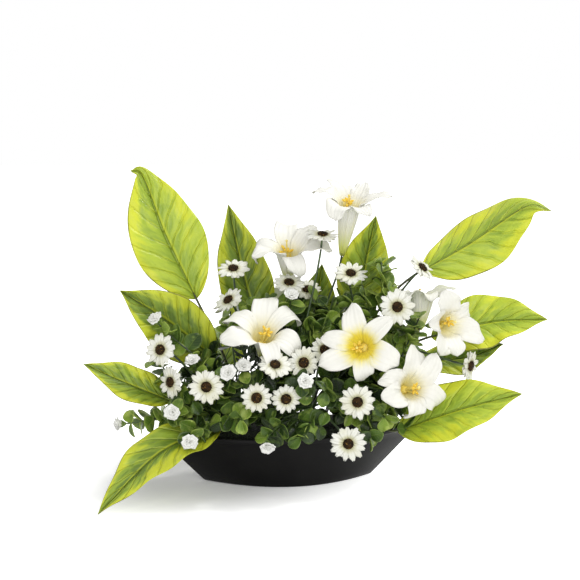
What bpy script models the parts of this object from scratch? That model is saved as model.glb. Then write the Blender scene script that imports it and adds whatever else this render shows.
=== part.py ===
"""Centrepiece flower arrangement: lilies, daisies, bud sprigs and variegated leaves in a black boat bowl.

Every stem is pushed into a block of floral foam that fills the bowl.
Frame: origin on the table under the middle of the bowl, X along the bowl, +Y to the back, +Z up.
The tables below are in millimetres; the mesh helpers turn them into metres.
"""

import math

import bpy
from mathutils import Matrix, Quaternion, Vector
from mathutils.bvhtree import BVHTree

MM = 0.001
UP = Vector((0, 0, 1))
ARRANGEMENT_MIDDLE = Vector((0, 20, 60))  # the small leaves face away from here

# --- driving dimensions, mm ---
BOWL_LENGTH, BOWL_WIDTH, BOWL_HEIGHT = 306.0, 116.0, 57.0
BASE_LENGTH, BASE_WIDTH = 192.0, 90.0
WALL, LIP, LIP_HEIGHT = 2.5, 1.4, 5.0
FOAM_LENGTH, FOAM_WIDTH, FOAM_TOP = 256.0, 98.0, 64.0
SEAT_GAP = 0.3  # between a piece and what it rests on or plugs into
PEG_DEPTH = 27.0  # how deep a stem is pushed into the foam
HOLE_PLAY = 0.5
LEAF_THICKNESS = 1.3
PETIOLE_RADIUS = 1.7
STRAIGHT_END = 2.5  # the last of a branch, straight into the flower
STEM_RADIUS, BRANCH_RADIUS = 1.9, 1.25
DAISY_PETALS, DAISY_NOTCH = 13, 0.66
CALYX_DEPTH = 5.0
LILY_PETALS, LILY_MOUTH = 6, 13.0
LILY_PETAL_OUTLINE = [1.0, 0.78, 0.26, 0.78]  # reach at the tip, side, notch and side of a petal
BOX_LEAF_LENGTH, BOX_LEAF_WIDTH = 18.0, 16.0
BUD_RADIUS, BUD_LENGTH, BUD_SIDES = 8.0, 14.0, 6
BOX_LEAF_SPACING = 13.0
LEAF_TWIST = 24.0  # degrees from one small leaf's turn to the next
FINE_STEPS = 16  # samples between two given points of a smooth curve

# --- the planting list ---
# name: where the stalk enters the foam (x, y), midrib of the blade (base, on to the tip), the way its
# upper side faces, half width, how far the edges rise above the midrib as a share of the half width
LEAVES = {
    "leaf_top_left": (
        (-50, 17), [(-102, 20, 206), (-137, 30, 280), (-159, 46, 343), (-173, 42, 351)],
        (0.1, -1, 0.15), 42, 0.15),
    "leaf_left": (
        (-68, 6), [(-83, -6, 141), (-140, -21, 189), (-190, -42, 226)], (-0.1, -0.95, 0.3), 34, 0.15),
    "leaf_low_left": (
        (-92, 0), [(-134, -21, 98), (-183, -27, 120), (-231, -27, 144)], (-0.1, -0.72, 0.7), 23, 0.2),
    "leaf_table": (
        (-84, -13), [(-83, -48, 69), (-150, -87, 57), (-221, -130, 3)], (-0.3, -0.6, 0.75), 29, 0.15),
    "leaf_back_left": (
        (-24, 27), [(-23, 49, 150), (-45, 58, 230), (-61, 55, 310)], (0.15, -1, 0.1), 32, 0.2),
    "leaf_back_centre": ((4, 30), [(30, 45, 140), (40, 50, 187), (47, 46, 240)], (0, -1, 0.1), 25, 0.2),
    "leaf_back_right": (
        (32, 27), [(84, 33, 176), (95, 36, 239), (106, 25, 297)], (-0.1, -1, 0.1), 30, 0.2),
    "leaf_top_right": (
        (62, 14), [(152, -8, 237), (206, -17, 270), (263, -40, 312), (289, -54, 309)],
        (0.1, -0.72, 0.7), 36, -0.45),
    "leaf_right": (
        (86, 3), [(160, -26, 164), (226, -45, 183), (281, -74, 189)], (0, -0.8, 0.6), 34, 0.1),
    "leaf_under_right": (
        (70, 2), [(150, -4, 132), (205, -20, 138), (240, -42, 157)], (0, -0.7, 0.7), 24, 0.1),
    "leaf_low_right": (
        (80, -12), [(112, -71, 67), (170, -105, 96), (234, -137, 119)], (0.1, -0.75, 0.65), 35, 0.1),
    "leaf_rear_left": (
        (-56, 18), [(-65, 60, 110), (-66, 110, 145), (-60, 160, 150)], (0, 0.3, 0.95), 30, 0.2),
    "leaf_rear_right": (
        (56, 19), [(70, 60, 110), (85, 105, 145), (95, 150, 150)], (0.1, 0.3, 0.95), 30, 0.2),
}
# name: middle of the throat, the way it faces, length from stem to throat, reach of the petals,
# first petal's turn
LILIES = {
    "lily_centre": ((-37, -65, 177), (0.0, -0.66, 0.75), 36, 45, 0),
    "lily_yellow": ((66, -96, 167), (-0.34, -0.91, 0.22), 36, 42, 14),
    "lily_front_right": ((118, -109, 123), (0.27, -0.9, 0.3), 36, 40, 0),
    "lily_right": ((165, -80, 186), (0.43, -0.87, 0.15), 34, 36, 10),
    "lily_top": ((70, 0, 311), (0.07, -0.36, 0.93), 62, 36, 0),
    "lily_top_left": ((1, 5, 257), (-0.06, -0.4, 0.92), 36, 42, 15),
    "lily_back_right": ((150, -20, 205), (0.1, 0.1, 1.0), 34, 32, 0),
    "lily_rear": ((10, 100, 165), (0, 0.8, 0.6), 36, 40, 0),
}
# name: middle of the petals, the way it faces, diameter
DAISIES = {
    "daisy_01": ((-61, 9, 241), (-0.1, -0.45, 0.9), 39),
    "daisy_02": ((-69, -15, 209), (-0.55, -0.4, 0.7), 36),
    "daisy_03": ((-1, -15, 227), (0, -0.5, 0.87), 37),
    "daisy_04": ((36, -20, 281), (0.05, -0.25, 0.97), 39),
    "daisy_05": ((71, -6, 235), (0, -0.55, 0.83), 40),
    "daisy_06": ((105, -97, 210), (-0.1, -1, 0.1), 41),
    "daisy_07": ((146, -37, 244), (0.55, -0.45, 0.7), 36),
    "daisy_08": ((-148, -54, 162), (-0.55, -0.8, 0.2), 38),
    "daisy_09": ((-138, -65, 128), (-0.8, -0.55, 0.1), 38),
    "daisy_10": ((-102, -91, 127), (-0.15, -1, 0.1), 40),
    "daisy_11": ((-30, -109, 152), (0, -0.6, 0.8), 39),
    "daisy_12": ((4, -88, 150), (0, -1, 0.1), 36),
    "daisy_13": ((-50, -109, 117), (-0.15, -0.95, 0.2), 34),
    "daisy_14": ((-17, -99, 113), (0, -0.95, -0.1), 34),
    "daisy_15": ((31, -65, 159), (0.1, -0.8, 0.3), 33),
    "daisy_16": ((57, -122, 112), (-0.15, -1, 0.05), 40),
    "daisy_17": ((47, -123, 67), (-0.15, -1, 0), 41),
    "daisy_18": ((191, -81, 140), (0.7, -0.6, -0.1), 36),
    "daisy_19": ((24, 12, 215), (0, -0.5, 0.8), 34),
    "daisy_20": ((-60, 75, 190), (-0.3, 0.6, 0.7), 38),
    "daisy_21": ((70, 85, 185), (0.3, 0.6, 0.7), 38),
}
# name: foam entry (x, y), fork where the branches part, the heads that it carries
LILY_STEMS = {
    "lily_stem_left": ((-14, -6), (-12, -2, 130), ["lily_centre", "lily_top_left"]),
    "lily_stem_front": ((22, -18), (40, -45, 115), ["lily_yellow", "lily_front_right"]),
    "lily_stem_tall": ((16, 10), (26, 18, 130), ["lily_top", "lily_rear"]),
    "lily_stem_right": ((52, -4), (104, -47, 116), ["lily_right", "lily_back_right"]),
}
DAISY_STEMS = {
    "daisy_stem_left": ((-60, -18), (-92, -40, 105), ["daisy_08", "daisy_09", "daisy_10", "daisy_13"]),
    "daisy_stem_back": ((-38, 8), (-50, 0, 150), ["daisy_01", "daisy_02", "daisy_20"]),
    "daisy_stem_centre": (
        (2, -10), (6, -22, 120), ["daisy_03", "daisy_04", "daisy_11", "daisy_12", "daisy_19"]),
    "daisy_stem_front": ((8, -30), (15, -58, 92), ["daisy_14", "daisy_15", "daisy_16", "daisy_17"]),
    "daisy_stem_right": (
        (44, 8), (80, -12, 140), ["daisy_05", "daisy_06", "daisy_07", "daisy_18", "daisy_21"]),
}
# name: foam entry (x, y), fork, branches as (tip, the way the tip points, number of leaf pairs, has a bud)
BUD_SPRIGS = {
    "bud_sprig_far_left": (
        (-106, -6),
        (-120, -26, 82),
        [
            ((-187, -40, 78), (-1, -0.1, 0), 4, True),
            ((-137, -84, 99), (-0.2, -1, 0.2), 2, True),
            ((-150, -30, 150), (-0.5, -0.4, 0.8), 3, False),
            ((-127, -42, 124), (0, -0.4, 0.9), 2, False),
            ((-114, -66, 106), (0.2, -1, 0.3), 2, False),
            ((-126, 38, 100), (-0.3, 0.8, 0.4), 3, False),
        ],
    ),
    "bud_sprig_left": (
        (-74, -20),
        (-88, -45, 88),
        [
            ((-120, -98, 72), (-0.2, -1, -0.2), 1, True),
            ((-112, -60, 145), (-0.3, -0.5, 0.8), 3, True),
            ((-64, -92, 90), (0.2, -1, 0.1), 3, False),
            ((-98, -78, 76), (0, -0.9, -0.3), 2, False),
            ((-82, -66, 122), (0.3, -0.3, 0.8), 3, False),
        ],
    ),
    "bud_sprig_front": (
        (-6, -38),
        (-7, -72, 84),
        [
            ((-38, -103, 68), (-0.1, -0.8, -0.6), 2, True),
            ((1, -108, 134), (0.1, -1, 0.2), 2, True),
            ((22, -100, 82), (0.5, -0.8, 0.1), 3, False),
            ((0, -98, 68), (0.1, -0.9, -0.4), 2, False),
            ((-3, -96, 112), (0, -0.8, 0.6), 2, False),
            ((-8, -62, 122), (0, 0.1, 1), 2, False),
            ((-27, -86, 100), (-0.5, -0.8, 0.4), 2, False),
        ],
    ),
    "bud_sprig_centre": (
        (-2, 14),
        (-3, 0, 160),
        [
            ((-3, -42, 212), (0, -0.6, 0.8), 2, True),
            ((14, -16, 200), (0.3, -0.3, 0.9), 2, False),
            ((34, -6, 210), (0.3, -0.1, 1), 3, False),
            ((-26, 2, 206), (-0.3, 0.1, 1), 3, False),
            ((4, 66, 148), (0, 0.8, 0.2), 3, False),
        ],
    ),
    "bud_sprig_middle_left": (
        (-46, -24),
        (-60, -48, 105),
        [
            ((-77, -85, 139), (-0.2, -0.9, 0.4), 2, True),
            ((-61, -77, 143), (0, -0.8, 0.6), 1, True),
            ((-150, -45, 190), (-0.5, -0.5, 0.7), 4, True),
            ((-66, -6, 195), (0, 0.1, 1), 4, False),
            ((-14, -46, 160), (0.4, -0.2, 0.9), 3, False),
            ((-34, -64, 128), (0.5, -0.4, 0.5), 3, False),
        ],
    ),
    "box_sprig_right": (
        (62, -22),
        (92, -46, 98),
        [
            ((104, -14, 250), (-0.1, 0, 1), 7, False),
            ((75, -104, 66), (0.2, -0.9, -0.3), 4, False),
            ((26, -96, 118), (-0.3, -0.8, 0.3), 3, False),
            ((116, -58, 172), (0.3, -0.4, 0.8), 3, False),
            ((135, -62, 82), (0.8, -0.4, 0.2), 3, False),
            ((80, -24, 226), (-0.3, 0, 1), 3, False),
            ((112, -42, 226), (0.1, -0.3, 1), 3, False),
            ((138, -64, 194), (0.3, -0.3, 0.9), 2, False),
            ((90, -104, 90), (-0.1, -0.9, 0.1), 2, False),
            ((64, -58, 146), (-0.3, -0.1, 1), 3, False),
            ((56, -86, 92), (-0.5, -0.7, 0.1), 2, False),
            ((118, -90, 72), (0.5, -0.8, -0.2), 3, False),
            ((134, 30, 96), (0.5, 0.8, 0), 3, False),
        ],
    ),
}
# foam entry (x, y), tip, number of finger pairs
FERN = ((-30, -14), (-64, -72, 172), 6)
FERN_TIP_DIRECTION = (-0.3, -0.4, 0.85)
FINGER_LENGTH, FINGER_TURN = 11.0, 12.0  # of the first pair, and degrees from one pair to the next


def vector(values):
    return Vector(values).normalized()


def bezier(p0, p1, p2, p3, steps):
    """steps + 1 points along a cubic curve."""
    points = []
    for i in range(steps + 1):
        t = i / steps
        s = 1 - t
        points.append(s**3 * p0 + 3 * s * s * t * p1 + 3 * s * t * t * p2 + t**3 * p3)
    return points


def smooth_through(points, steps):
    """steps + 1 points, evenly spaced along a curve that passes through each of the given points."""
    padded = [2 * points[0] - points[1], *points, 2 * points[-1] - points[-2]]
    fine = [points[0]]
    for k in range(len(points) - 1):
        a, b, c, d = padded[k : k + 4]
        for j in range(1, FINE_STEPS + 1):
            t = j / FINE_STEPS
            bend = (2 * a - 5 * b + 4 * c - d) * t * t + (3 * b - a - 3 * c + d) * t**3
            fine.append(0.5 * (2 * b + (c - a) * t + bend))
    lengths = [0.0]
    for a, b in zip(fine, fine[1:]):
        lengths.append(lengths[-1] + (b - a).length)
    found, k = [], 0
    for i in range(steps + 1):
        wanted = lengths[-1] * i / steps
        while k < len(fine) - 2 and lengths[k + 1] < wanted:
            k += 1
        share = (wanted - lengths[k]) / (lengths[k + 1] - lengths[k])
        found.append(fine[k].lerp(fine[k + 1], share))
    return found


def tangents(points):
    last = len(points) - 1
    return [(points[min(i + 1, last)] - points[max(i - 1, 0)]).normalized() for i in range(len(points))]


def frames(points, face):
    """(point, side, normal) along a path, with the normal kept as near to face as the path allows."""
    found = []
    for point, along in zip(points, tangents(points)):
        normal = (face - along * face.dot(along)).normalized()
        found.append((point, along.cross(normal), normal))
    return found


def material(name, colour, roughness):
    found = bpy.data.materials.get(name)
    if found:
        return found
    made = bpy.data.materials.new(name)
    made.use_nodes = True
    shader = made.node_tree.nodes["Principled BSDF"]
    shader.inputs["Base Color"].default_value = (*colour, 1)
    shader.inputs["Roughness"].default_value = roughness
    return made


def finishes():
    return {
        "bowl": material("black_plastic", (0.012, 0.011, 0.011), 0.42),
        "foam": material("foam_green", (0.03, 0.05, 0.025), 0.95),
        "leaf": material("variegated_leaf", (0.28, 0.42, 0.05), 0.45),
        "lily": material("lily_petal", (0.88, 0.86, 0.78), 0.55),
        "daisy": material("daisy_petal", (0.9, 0.9, 0.86), 0.6),
        "stem": material("stem_green", (0.04, 0.07, 0.03), 0.5),
        "sprig": material("box_leaf", (0.07, 0.16, 0.05), 0.4),
    }


def new_mesh(name, shape, finish, origin=Vector()):
    """A smooth mesh from (points, faces) in mm, with its origin moved to the given point."""
    points, faces = shape
    mesh = bpy.data.meshes.new(name)
    mesh.from_pydata([(p - origin) * MM for p in points], [], faces)
    mesh.update()
    mesh.shade_smooth()
    mesh.materials.append(finish)
    return mesh


def new_object(name, mesh, place=Vector(), axis=UP, turn=0.0):
    """An object at a point in mm, with its Z along axis and turned about it by degrees."""
    made = bpy.data.objects.new(name, mesh)
    made.location = place * MM
    made.rotation_mode = "QUATERNION"
    made.rotation_quaternion = rotation_to(axis, turn)
    bpy.context.scene.collection.objects.link(made)
    return made


def helper_group(owner, kind, shapes, finish):
    """A collection of shapes that only feed a Boolean of the owner. None of them is rendered."""
    group = bpy.data.collections.new(f"{owner}_{kind}")
    group.hide_render = True
    bpy.context.scene.collection.children.link(group)
    for number, shape in enumerate(shapes):
        name = f"{owner}_{kind}_{number}"
        helper = bpy.data.objects.new(name, new_mesh(name, shape, finish))
        helper.hide_render = True
        helper.display_type = "WIRE"
        group.objects.link(helper)
    return group


def loft(rings):
    """(points, faces) of the closed skin over rings of equal length, turning left round as the rings go.

    A ring of one point closes an end to that point; any other end ring becomes a flat cap.
    """
    points, starts = [], []
    for ring in rings:
        starts.append(len(points))
        points.extend(ring)
    faces = []
    for i in range(len(rings) - 1):
        a, b = starts[i], starts[i + 1]
        count_a, count_b = len(rings[i]), len(rings[i + 1])
        count = max(count_a, count_b)
        for k in range(count):
            n = (k + 1) % count
            if count_a == 1:
                faces.append((a, b + n, b + k))
            elif count_b == 1:
                faces.append((a + k, a + n, b))
            else:
                faces.append((a + k, a + n, b + n, b + k))
    if len(rings[0]) > 1:
        faces.append(tuple(reversed(range(len(rings[0])))))
    if len(rings[-1]) > 1:
        faces.append(tuple(range(starts[-1], starts[-1] + len(rings[-1]))))
    return points, faces


def tube(points, radii, sides=5, end_direction=None):
    """A round bar along points, with one radius at each point. Its end face is square to end_direction."""
    along = tangents(points)
    if end_direction:
        along[-1] = end_direction
    normal = along[0].orthogonal().normalized()
    rings = []
    for point, direction, radius in zip(points, along, radii):
        normal = (normal - direction * normal.dot(direction)).normalized()
        side = direction.cross(normal)
        turns = [2 * math.pi * k / sides for k in range(sides)]
        rings.append([point + radius * (math.cos(a) * normal + math.sin(a) * side) for a in turns])
    return loft(rings)


def even(value, points):
    return [value] * len(points)


def foam_exit(entry):
    """(point on top of the foam, the way a stem leaves it): stems fan out from the middle."""
    x, y = entry
    return Vector((x, y, FOAM_TOP)), vector((x * 0.0035, y * 0.008, 1))


# --- bowl and foam ---
def lens(length, width, z, per_side=11):
    """A boat-shaped outline: two arcs that meet in points at the ends."""
    half = length / 2
    xs = [half * math.cos(math.pi * k / per_side) for k in range(per_side + 1)]
    front_to_back = [(x, width / 2 * (1 - (x / half) ** 2)) for x in xs]
    far_side = [(-x, -y) for x, y in front_to_back[1:-1]]
    return [Vector((x, y, z)) for x, y in front_to_back + far_side]


def bowl_size(z):
    """(length, width) of the outside of the wall at a height."""
    share = z / BOWL_HEIGHT
    return BASE_LENGTH + (BOWL_LENGTH - BASE_LENGTH) * share, BASE_WIDTH + (BOWL_WIDTH - BASE_WIDTH) * share


def make_bowl(finish):
    lip_base = BOWL_HEIGHT - LIP_HEIGHT
    inset = 2 * WALL
    foot_chamfer = 1.5

    def ring(z, grow=0.0):
        length, width = bowl_size(z)
        return lens(length + 2.2 * grow, width + grow, z)

    rings = [
        ring(0, -2 * foot_chamfer),
        ring(foot_chamfer),
        ring(lip_base, 0),
        ring(lip_base + LIP, 2 * LIP),
        ring(BOWL_HEIGHT, 2 * LIP),
        ring(BOWL_HEIGHT, -inset),
        ring(WALL, -inset),
    ]
    new_object("bowl", new_mesh("bowl", loft(rings), finish))


def make_foam(entries, finish):
    """The block, with a hole for every stem."""
    rings = [
        lens(BASE_LENGTH - 16, BASE_WIDTH - 12, WALL + SEAT_GAP),
        lens(FOAM_LENGTH, FOAM_WIDTH, FOAM_TOP - 6),
        lens(FOAM_LENGTH - 12, FOAM_WIDTH - 8, FOAM_TOP),
    ]
    foam = new_object("floral_foam", new_mesh("floral_foam", loft(rings), finish))
    holes = []
    for entry, radius in entries:
        top, out = foam_exit(entry)
        path = [top - out * (PEG_DEPTH + SEAT_GAP), top + out * 8]
        holes.append(tube(path, even((radius + HOLE_PLAY) / math.cos(math.pi / 6), path), sides=6))
    boolean(foam, helper_group("floral_foam", "hole", holes, finish), "DIFFERENCE")


def boolean(target, group, operation):
    step = target.modifiers.new(operation.lower(), "BOOLEAN")
    step.operation = operation
    step.operand_type = "COLLECTION"
    step.collection = group
    step.solver = "EXACT"


def moulded(name, shapes, origin, finish):
    """One object from overlapping closed shapes: the first is its base and the others are joined on."""
    base = new_object(name, new_mesh(name, shapes[0], finish, origin), origin)
    boolean(base, helper_group(name, "part", shapes[1:], finish), "UNION")


# --- big leaves ---
def blade_width(t):
    """Half width of a blade, 1 at its widest, from its base at t = 0 to its tip at t = 1."""
    return math.sin(math.pi * t**0.8) ** 0.9 if 0 < t < 1 else 0.0


def leaf_shape(entry, midrib, face, half_width, rise, blade_steps=8, stalk_steps=3):
    """A leaf on its stalk, from the foot of the stalk in the foam to the tip of the blade."""
    rib = smooth_through([Vector(p) for p in midrib], blade_steps)
    top, out = foam_exit(entry)
    reach = (rib[0] - top).length
    start = (rib[1] - rib[0]).normalized()
    stalk = bezier(top, top + out * reach * 0.45, rib[0] - start * reach * 0.3, rib[0], stalk_steps)
    path = [top - out * PEG_DEPTH, *stalk, *rib[1:]]
    first_rib = len(path) - len(rib)
    rings = []
    for i, (point, side, normal) in enumerate(frames(path, vector(face))):
        t = (i - first_rib) / blade_steps
        spread = max(PETIOLE_RADIUS, half_width * blade_width(t))
        thickness = PETIOLE_RADIUS if t <= 0 else LEAF_THICKNESS / 2
        if i == len(path) - 1:
            rings.append([point])
            continue
        ring = []
        for u, h in ((-1, 0), (-0.5, 1), (0, 1), (0.5, 1), (1, 0), (0.5, -1), (0, -1), (-0.5, -1)):
            lift = rise * abs(u) * max(0.0, spread - PETIOLE_RADIUS)
            height = lift + h * thickness * (1 if u == 0 else 0.85)
            ring.append(point + side * (u * spread) + normal * height)
        rings.append(ring)
    return loft(rings)


# --- flower heads, modelled along +Z ---
def rotation_to(axis, turn=0.0):
    """The rotation that brings +Z to axis and keeps +Y as near up as it can be, after a turn about Z."""
    axis = axis.normalized()
    guide = UP if abs(axis.z) < 0.95 else Vector((0, 1, 0))
    up = (guide - axis * guide.dot(axis)).normalized()
    across = up.cross(axis)
    facing = Matrix((across, up, axis)).transposed().to_quaternion()
    return facing @ Quaternion((0, 0, 1), math.radians(turn))


def round_frame(axis, turn=0.0):
    """Two directions square to axis and to each other, the second as near up as it can be."""
    facing = rotation_to(axis, turn)
    return facing @ Vector((1, 0, 0)), facing @ Vector((0, 1, 0))


def star(radii, height):
    """A ring about Z with a point for each radius."""
    count = len(radii)
    turns = [2 * math.pi * k / count for k in range(count)]
    return [Vector((-r * math.sin(a), r * math.cos(a), height)) for r, a in zip(radii, turns)]


def lily_shape(length, reach):
    """A trumpet from its foot at z = -length to its mouth at z = 0, with six petals that curl back."""
    shell = 1.3
    spread = reach - LILY_MOUTH
    outline = LILY_PETAL_OUTLINE * LILY_PETALS

    def ring(base_radius, share, height, crown=0.0):
        radii = [base_radius + spread * share * part for part in outline]
        points = star(radii, 0)
        for point, part in zip(points, outline):
            point.z = height + crown * part
        return points

    rings = [
        ring(2.6, 0, -length),
        ring(LILY_MOUTH * 0.8, 0, -length * 0.5),
        ring(LILY_MOUTH + shell, 0, -shell),
        ring(LILY_MOUTH, 0.6, -shell, 8),
        ring(LILY_MOUTH, 1, 0, -7),
        ring(LILY_MOUTH, 0.6, shell, 8),
        ring(LILY_MOUTH, 0, shell),
        [Vector((0, 0, -length * 0.7))],
    ]
    return loft(rings)


def daisy_shape(diameter):
    """A daisy head with its petals at z = 0: calyx below, domed disc above."""
    outline = [diameter / 2, diameter / 2 * DAISY_NOTCH] * DAISY_PETALS
    count = len(outline)
    rings = [
        [Vector((0, 0, -CALYX_DEPTH))],
        star(outline, -0.6),
        star(outline, 0.6),
        star([5.6] * count, 1.6),
        [Vector((0, 0, 4.2))],
    ]
    return loft(rings)


# --- branching stems ---
def branching(name, entry, fork, tips, finish):
    """One moulded stem: a stalk from the foam to its fork, and a branch on to each (point, direction)."""
    top, out = foam_exit(entry)
    fork = Vector(fork)
    centre = sum((tip for tip, _ in tips), Vector()) / len(tips)
    onward = ((centre - fork).normalized() + (fork - top).normalized()).normalized()
    reach = (fork - top).length
    curve = bezier(top, top + out * reach * 0.4, fork - onward * reach * 0.3, fork, 4)
    stalk = [top - out * PEG_DEPTH, *curve]
    shapes = [tube(stalk, even(STEM_RADIUS, stalk))]
    for tip, direction in tips:
        far = (tip - fork).length
        end = tip - direction * (SEAT_GAP + STRAIGHT_END)
        path = bezier(fork - onward * 3, fork + onward * far * 0.3, end - direction * far * 0.3, end, 5)
        path += [tip - direction * SEAT_GAP]
        shapes.append(tube(path, even(BRANCH_RADIUS, path), end_direction=direction))
    moulded(name, shapes, top, finish)


def head_seats(heads):
    """(point, direction) of each head's socket, where its branch ends."""
    seats = []
    for head in heads:
        if head in LILIES:
            throat, axis, length = LILIES[head][:3]
            seats.append((Vector(throat) - vector(axis) * length, vector(axis)))
        else:
            middle, axis = DAISIES[head][:2]
            seats.append((Vector(middle) - vector(axis) * CALYX_DEPTH, vector(axis)))
    return seats


# --- bud sprigs ---
def box_leaf_size(pair):
    """The leaves grow larger away from the tip of a branch."""
    return min(1.35, 0.9 + 0.13 * pair)


def leaf_face(outside, along, outward, number):
    """The way a leaf's upper side looks: outwards and up the branch, then turned about its own length."""
    turn = math.radians((number * 3 % 5 - 2) * LEAF_TWIST)
    return Quaternion(outward, turn) @ (outside + along * 0.5).normalized()


def box_leaf(root, out, face, size):
    """A small round leaf, from its root outwards."""
    side = out.cross(face).normalized()
    face = side.cross(out).normalized()
    length, half = BOX_LEAF_LENGTH * size, BOX_LEAF_WIDTH * size / 2
    rings = [[root - out * 1.0]]
    for along, width in ((0.28, 0.88), (0.72, 0.88)):
        centre = root + out * (length * along)
        w = half * width
        rings.append([centre - side * w, centre + face * 0.5, centre + side * w, centre - face * 0.5])
    rings.append([root + out * length])
    return loft(rings)


def bud_head(root, axis):
    """A small double bloom, still half closed."""
    first, second = round_frame(axis)
    rings = [[root - axis * 1.5]]
    for along, width in ((0.25, 0.6), (0.6, 1.0), (0.9, 0.8)):
        ring = []
        for k in range(BUD_SIDES):
            angle = 2 * math.pi * k / BUD_SIDES
            outward = math.cos(angle) * first + math.sin(angle) * second
            ring.append(root + axis * (BUD_LENGTH * along) + outward * (BUD_RADIUS * width))
        rings.append(ring)
    rings.append([root + axis * BUD_LENGTH])
    return loft(rings)


class Room:
    """The solids placed so far, to ask whether a small leaf still fits between them."""

    def __init__(self):
        self.trees = []

    def add(self, shape):
        self.trees.append(BVHTree.FromPolygons(*shape))

    def add_objects(self, objects):
        bpy.context.view_layer.update()
        for item in objects:
            points = [item.matrix_world @ v.co / MM for v in item.data.vertices]
            self.add((points, [tuple(p.vertices) for p in item.data.polygons]))

    def fits(self, shape):
        tree = BVHTree.FromPolygons(*shape)
        return not any(tree.overlap(other) for other in self.trees)


def sprig(name, entry, fork, branches, room, finish):
    """A moulded sprig: stalk, branches, pairs of round leaves and a bud at the tip of a branch."""
    top, out = foam_exit(entry)
    fork = Vector(fork)
    reach = (fork - top).length
    ahead = (fork - top).normalized()
    curve = bezier(top, top + out * reach * 0.4, fork - ahead * reach * 0.3, fork, 4)
    stalk = [top - out * PEG_DEPTH, *curve]
    parts = [tube(stalk, even(BRANCH_RADIUS, stalk))]
    for tip, direction, pairs, has_bud in branches:
        tip, direction = Vector(tip), vector(direction)
        far = (tip - fork).length
        path = bezier(fork - ahead * 3, fork + ahead * far * 0.2, tip - direction * far * 0.3, tip, 6)
        parts.append(tube(path, even(BRANCH_RADIUS, path)))
        if has_bud:
            parts.append(bud_head(tip, direction))
        for pair in range(pairs):
            root, along = place_on(path, BOX_LEAF_SPACING * (pair + (0.5 if has_bud else 0.1)))
            outside = (root - ARRANGEMENT_MIDDLE).normalized()
            across = along.cross(outside).normalized()
            roll = math.radians((pair % 3 - 1) * 30)
            for way in (across, -across):
                outward = (way * math.cos(roll) + outside * math.sin(roll) + along * 0.5).normalized()
                face = leaf_face(outside, along, outward, len(parts))
                leaf = box_leaf(root, outward, face, box_leaf_size(pair))
                if room.fits(leaf):
                    parts.append(leaf)
    for shape in parts:
        room.add(shape)
    moulded(name, parts, top, finish)


def place_on(path, back):
    """(point, direction) on a path, this far back from its end."""
    for a, b in zip(reversed(path[:-1]), reversed(path)):
        span = (b - a).length
        if back <= span:
            return b.lerp(a, back / span), (b - a).normalized()
        back -= span
    return path[0], (path[1] - path[0]).normalized()


def fern_sprig(entry, tip, pairs, finish):
    """A dark flat spray with blunt fingers in pairs."""
    top, out = foam_exit(entry)
    tip = Vector(tip)
    reach = (tip - top).length
    before_tip = tip - vector(FERN_TIP_DIRECTION) * reach * 0.3
    path = [top - out * PEG_DEPTH, *bezier(top, top + out * reach * 0.45, before_tip, tip, 10)]
    along = tangents(path)
    shapes = [tube(path, even(BRANCH_RADIUS, path))]
    for pair in range(pairs):
        index = len(path) - 2 - pair
        across, _ = round_frame(along[index], FINGER_TURN * pair)
        for way in (across, -across):
            outward = (way + along[index] * 0.8).normalized()
            finger = [path[index], path[index] + outward * (FINGER_LENGTH + pair)]
            shapes.append(tube(finger, [1.6, 1.2], sides=4))
    moulded("fern_sprig", shapes, top, finish)


def main():
    for item in list(bpy.data.objects):
        bpy.data.objects.remove(item)
    finish = finishes()
    make_bowl(finish["bowl"])
    for name, (entry, *blade) in LEAVES.items():
        foot = foam_exit(entry)[0]
        new_object(name, new_mesh(name, leaf_shape(entry, *blade), finish["leaf"], foot), foot)
    for name, (throat, axis, length, reach, turn) in LILIES.items():
        bloom = new_mesh(name, lily_shape(length, reach), finish["lily"])
        new_object(name, bloom, Vector(throat), vector(axis), turn)
    daisies = {}
    for name, (middle, axis, diameter) in DAISIES.items():
        if diameter not in daisies:
            daisies[diameter] = new_mesh(f"daisy_{diameter}_mm", daisy_shape(diameter), finish["daisy"])
        new_object(name, daisies[diameter], Vector(middle), vector(axis))
    for name, (entry, fork, heads) in {**LILY_STEMS, **DAISY_STEMS}.items():
        branching(name, entry, fork, head_seats(heads), finish["stem"])
    fern_sprig(*FERN, finish["stem"])
    room = Room()
    room.add_objects(bpy.data.objects)
    for name, (entry, fork, branches) in BUD_SPRIGS.items():
        sprig(name, entry, fork, branches, room, finish["sprig"])
    make_foam(stem_feet(), finish["foam"])


def stem_feet():
    """(foam entry, radius) of every stalk."""
    feet = [(plan[0], PETIOLE_RADIUS) for plan in LEAVES.values()]
    feet += [(plan[0], STEM_RADIUS) for plan in {**LILY_STEMS, **DAISY_STEMS}.values()]
    feet += [(plan[0], BRANCH_RADIUS) for plan in BUD_SPRIGS.values()]
    return [*feet, (FERN[0], BRANCH_RADIUS)]


main()
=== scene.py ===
"""Looks for the centrepiece flower arrangement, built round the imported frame.

The planting tables are those of the CAD model, in its own frame: X along the bowl, +Y to the back, +Z up,
origin under the middle of the bowl. check_place() stops the script if a table and its CAD node disagree.
Shapes are in millimetres until Skin.make(). Materials, camera and lights are in metres.
"""

import math
import random

import bpy
import numpy as np
from mathutils import Matrix, Quaternion, Vector
from mathutils.bvhtree import BVHTree


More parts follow.
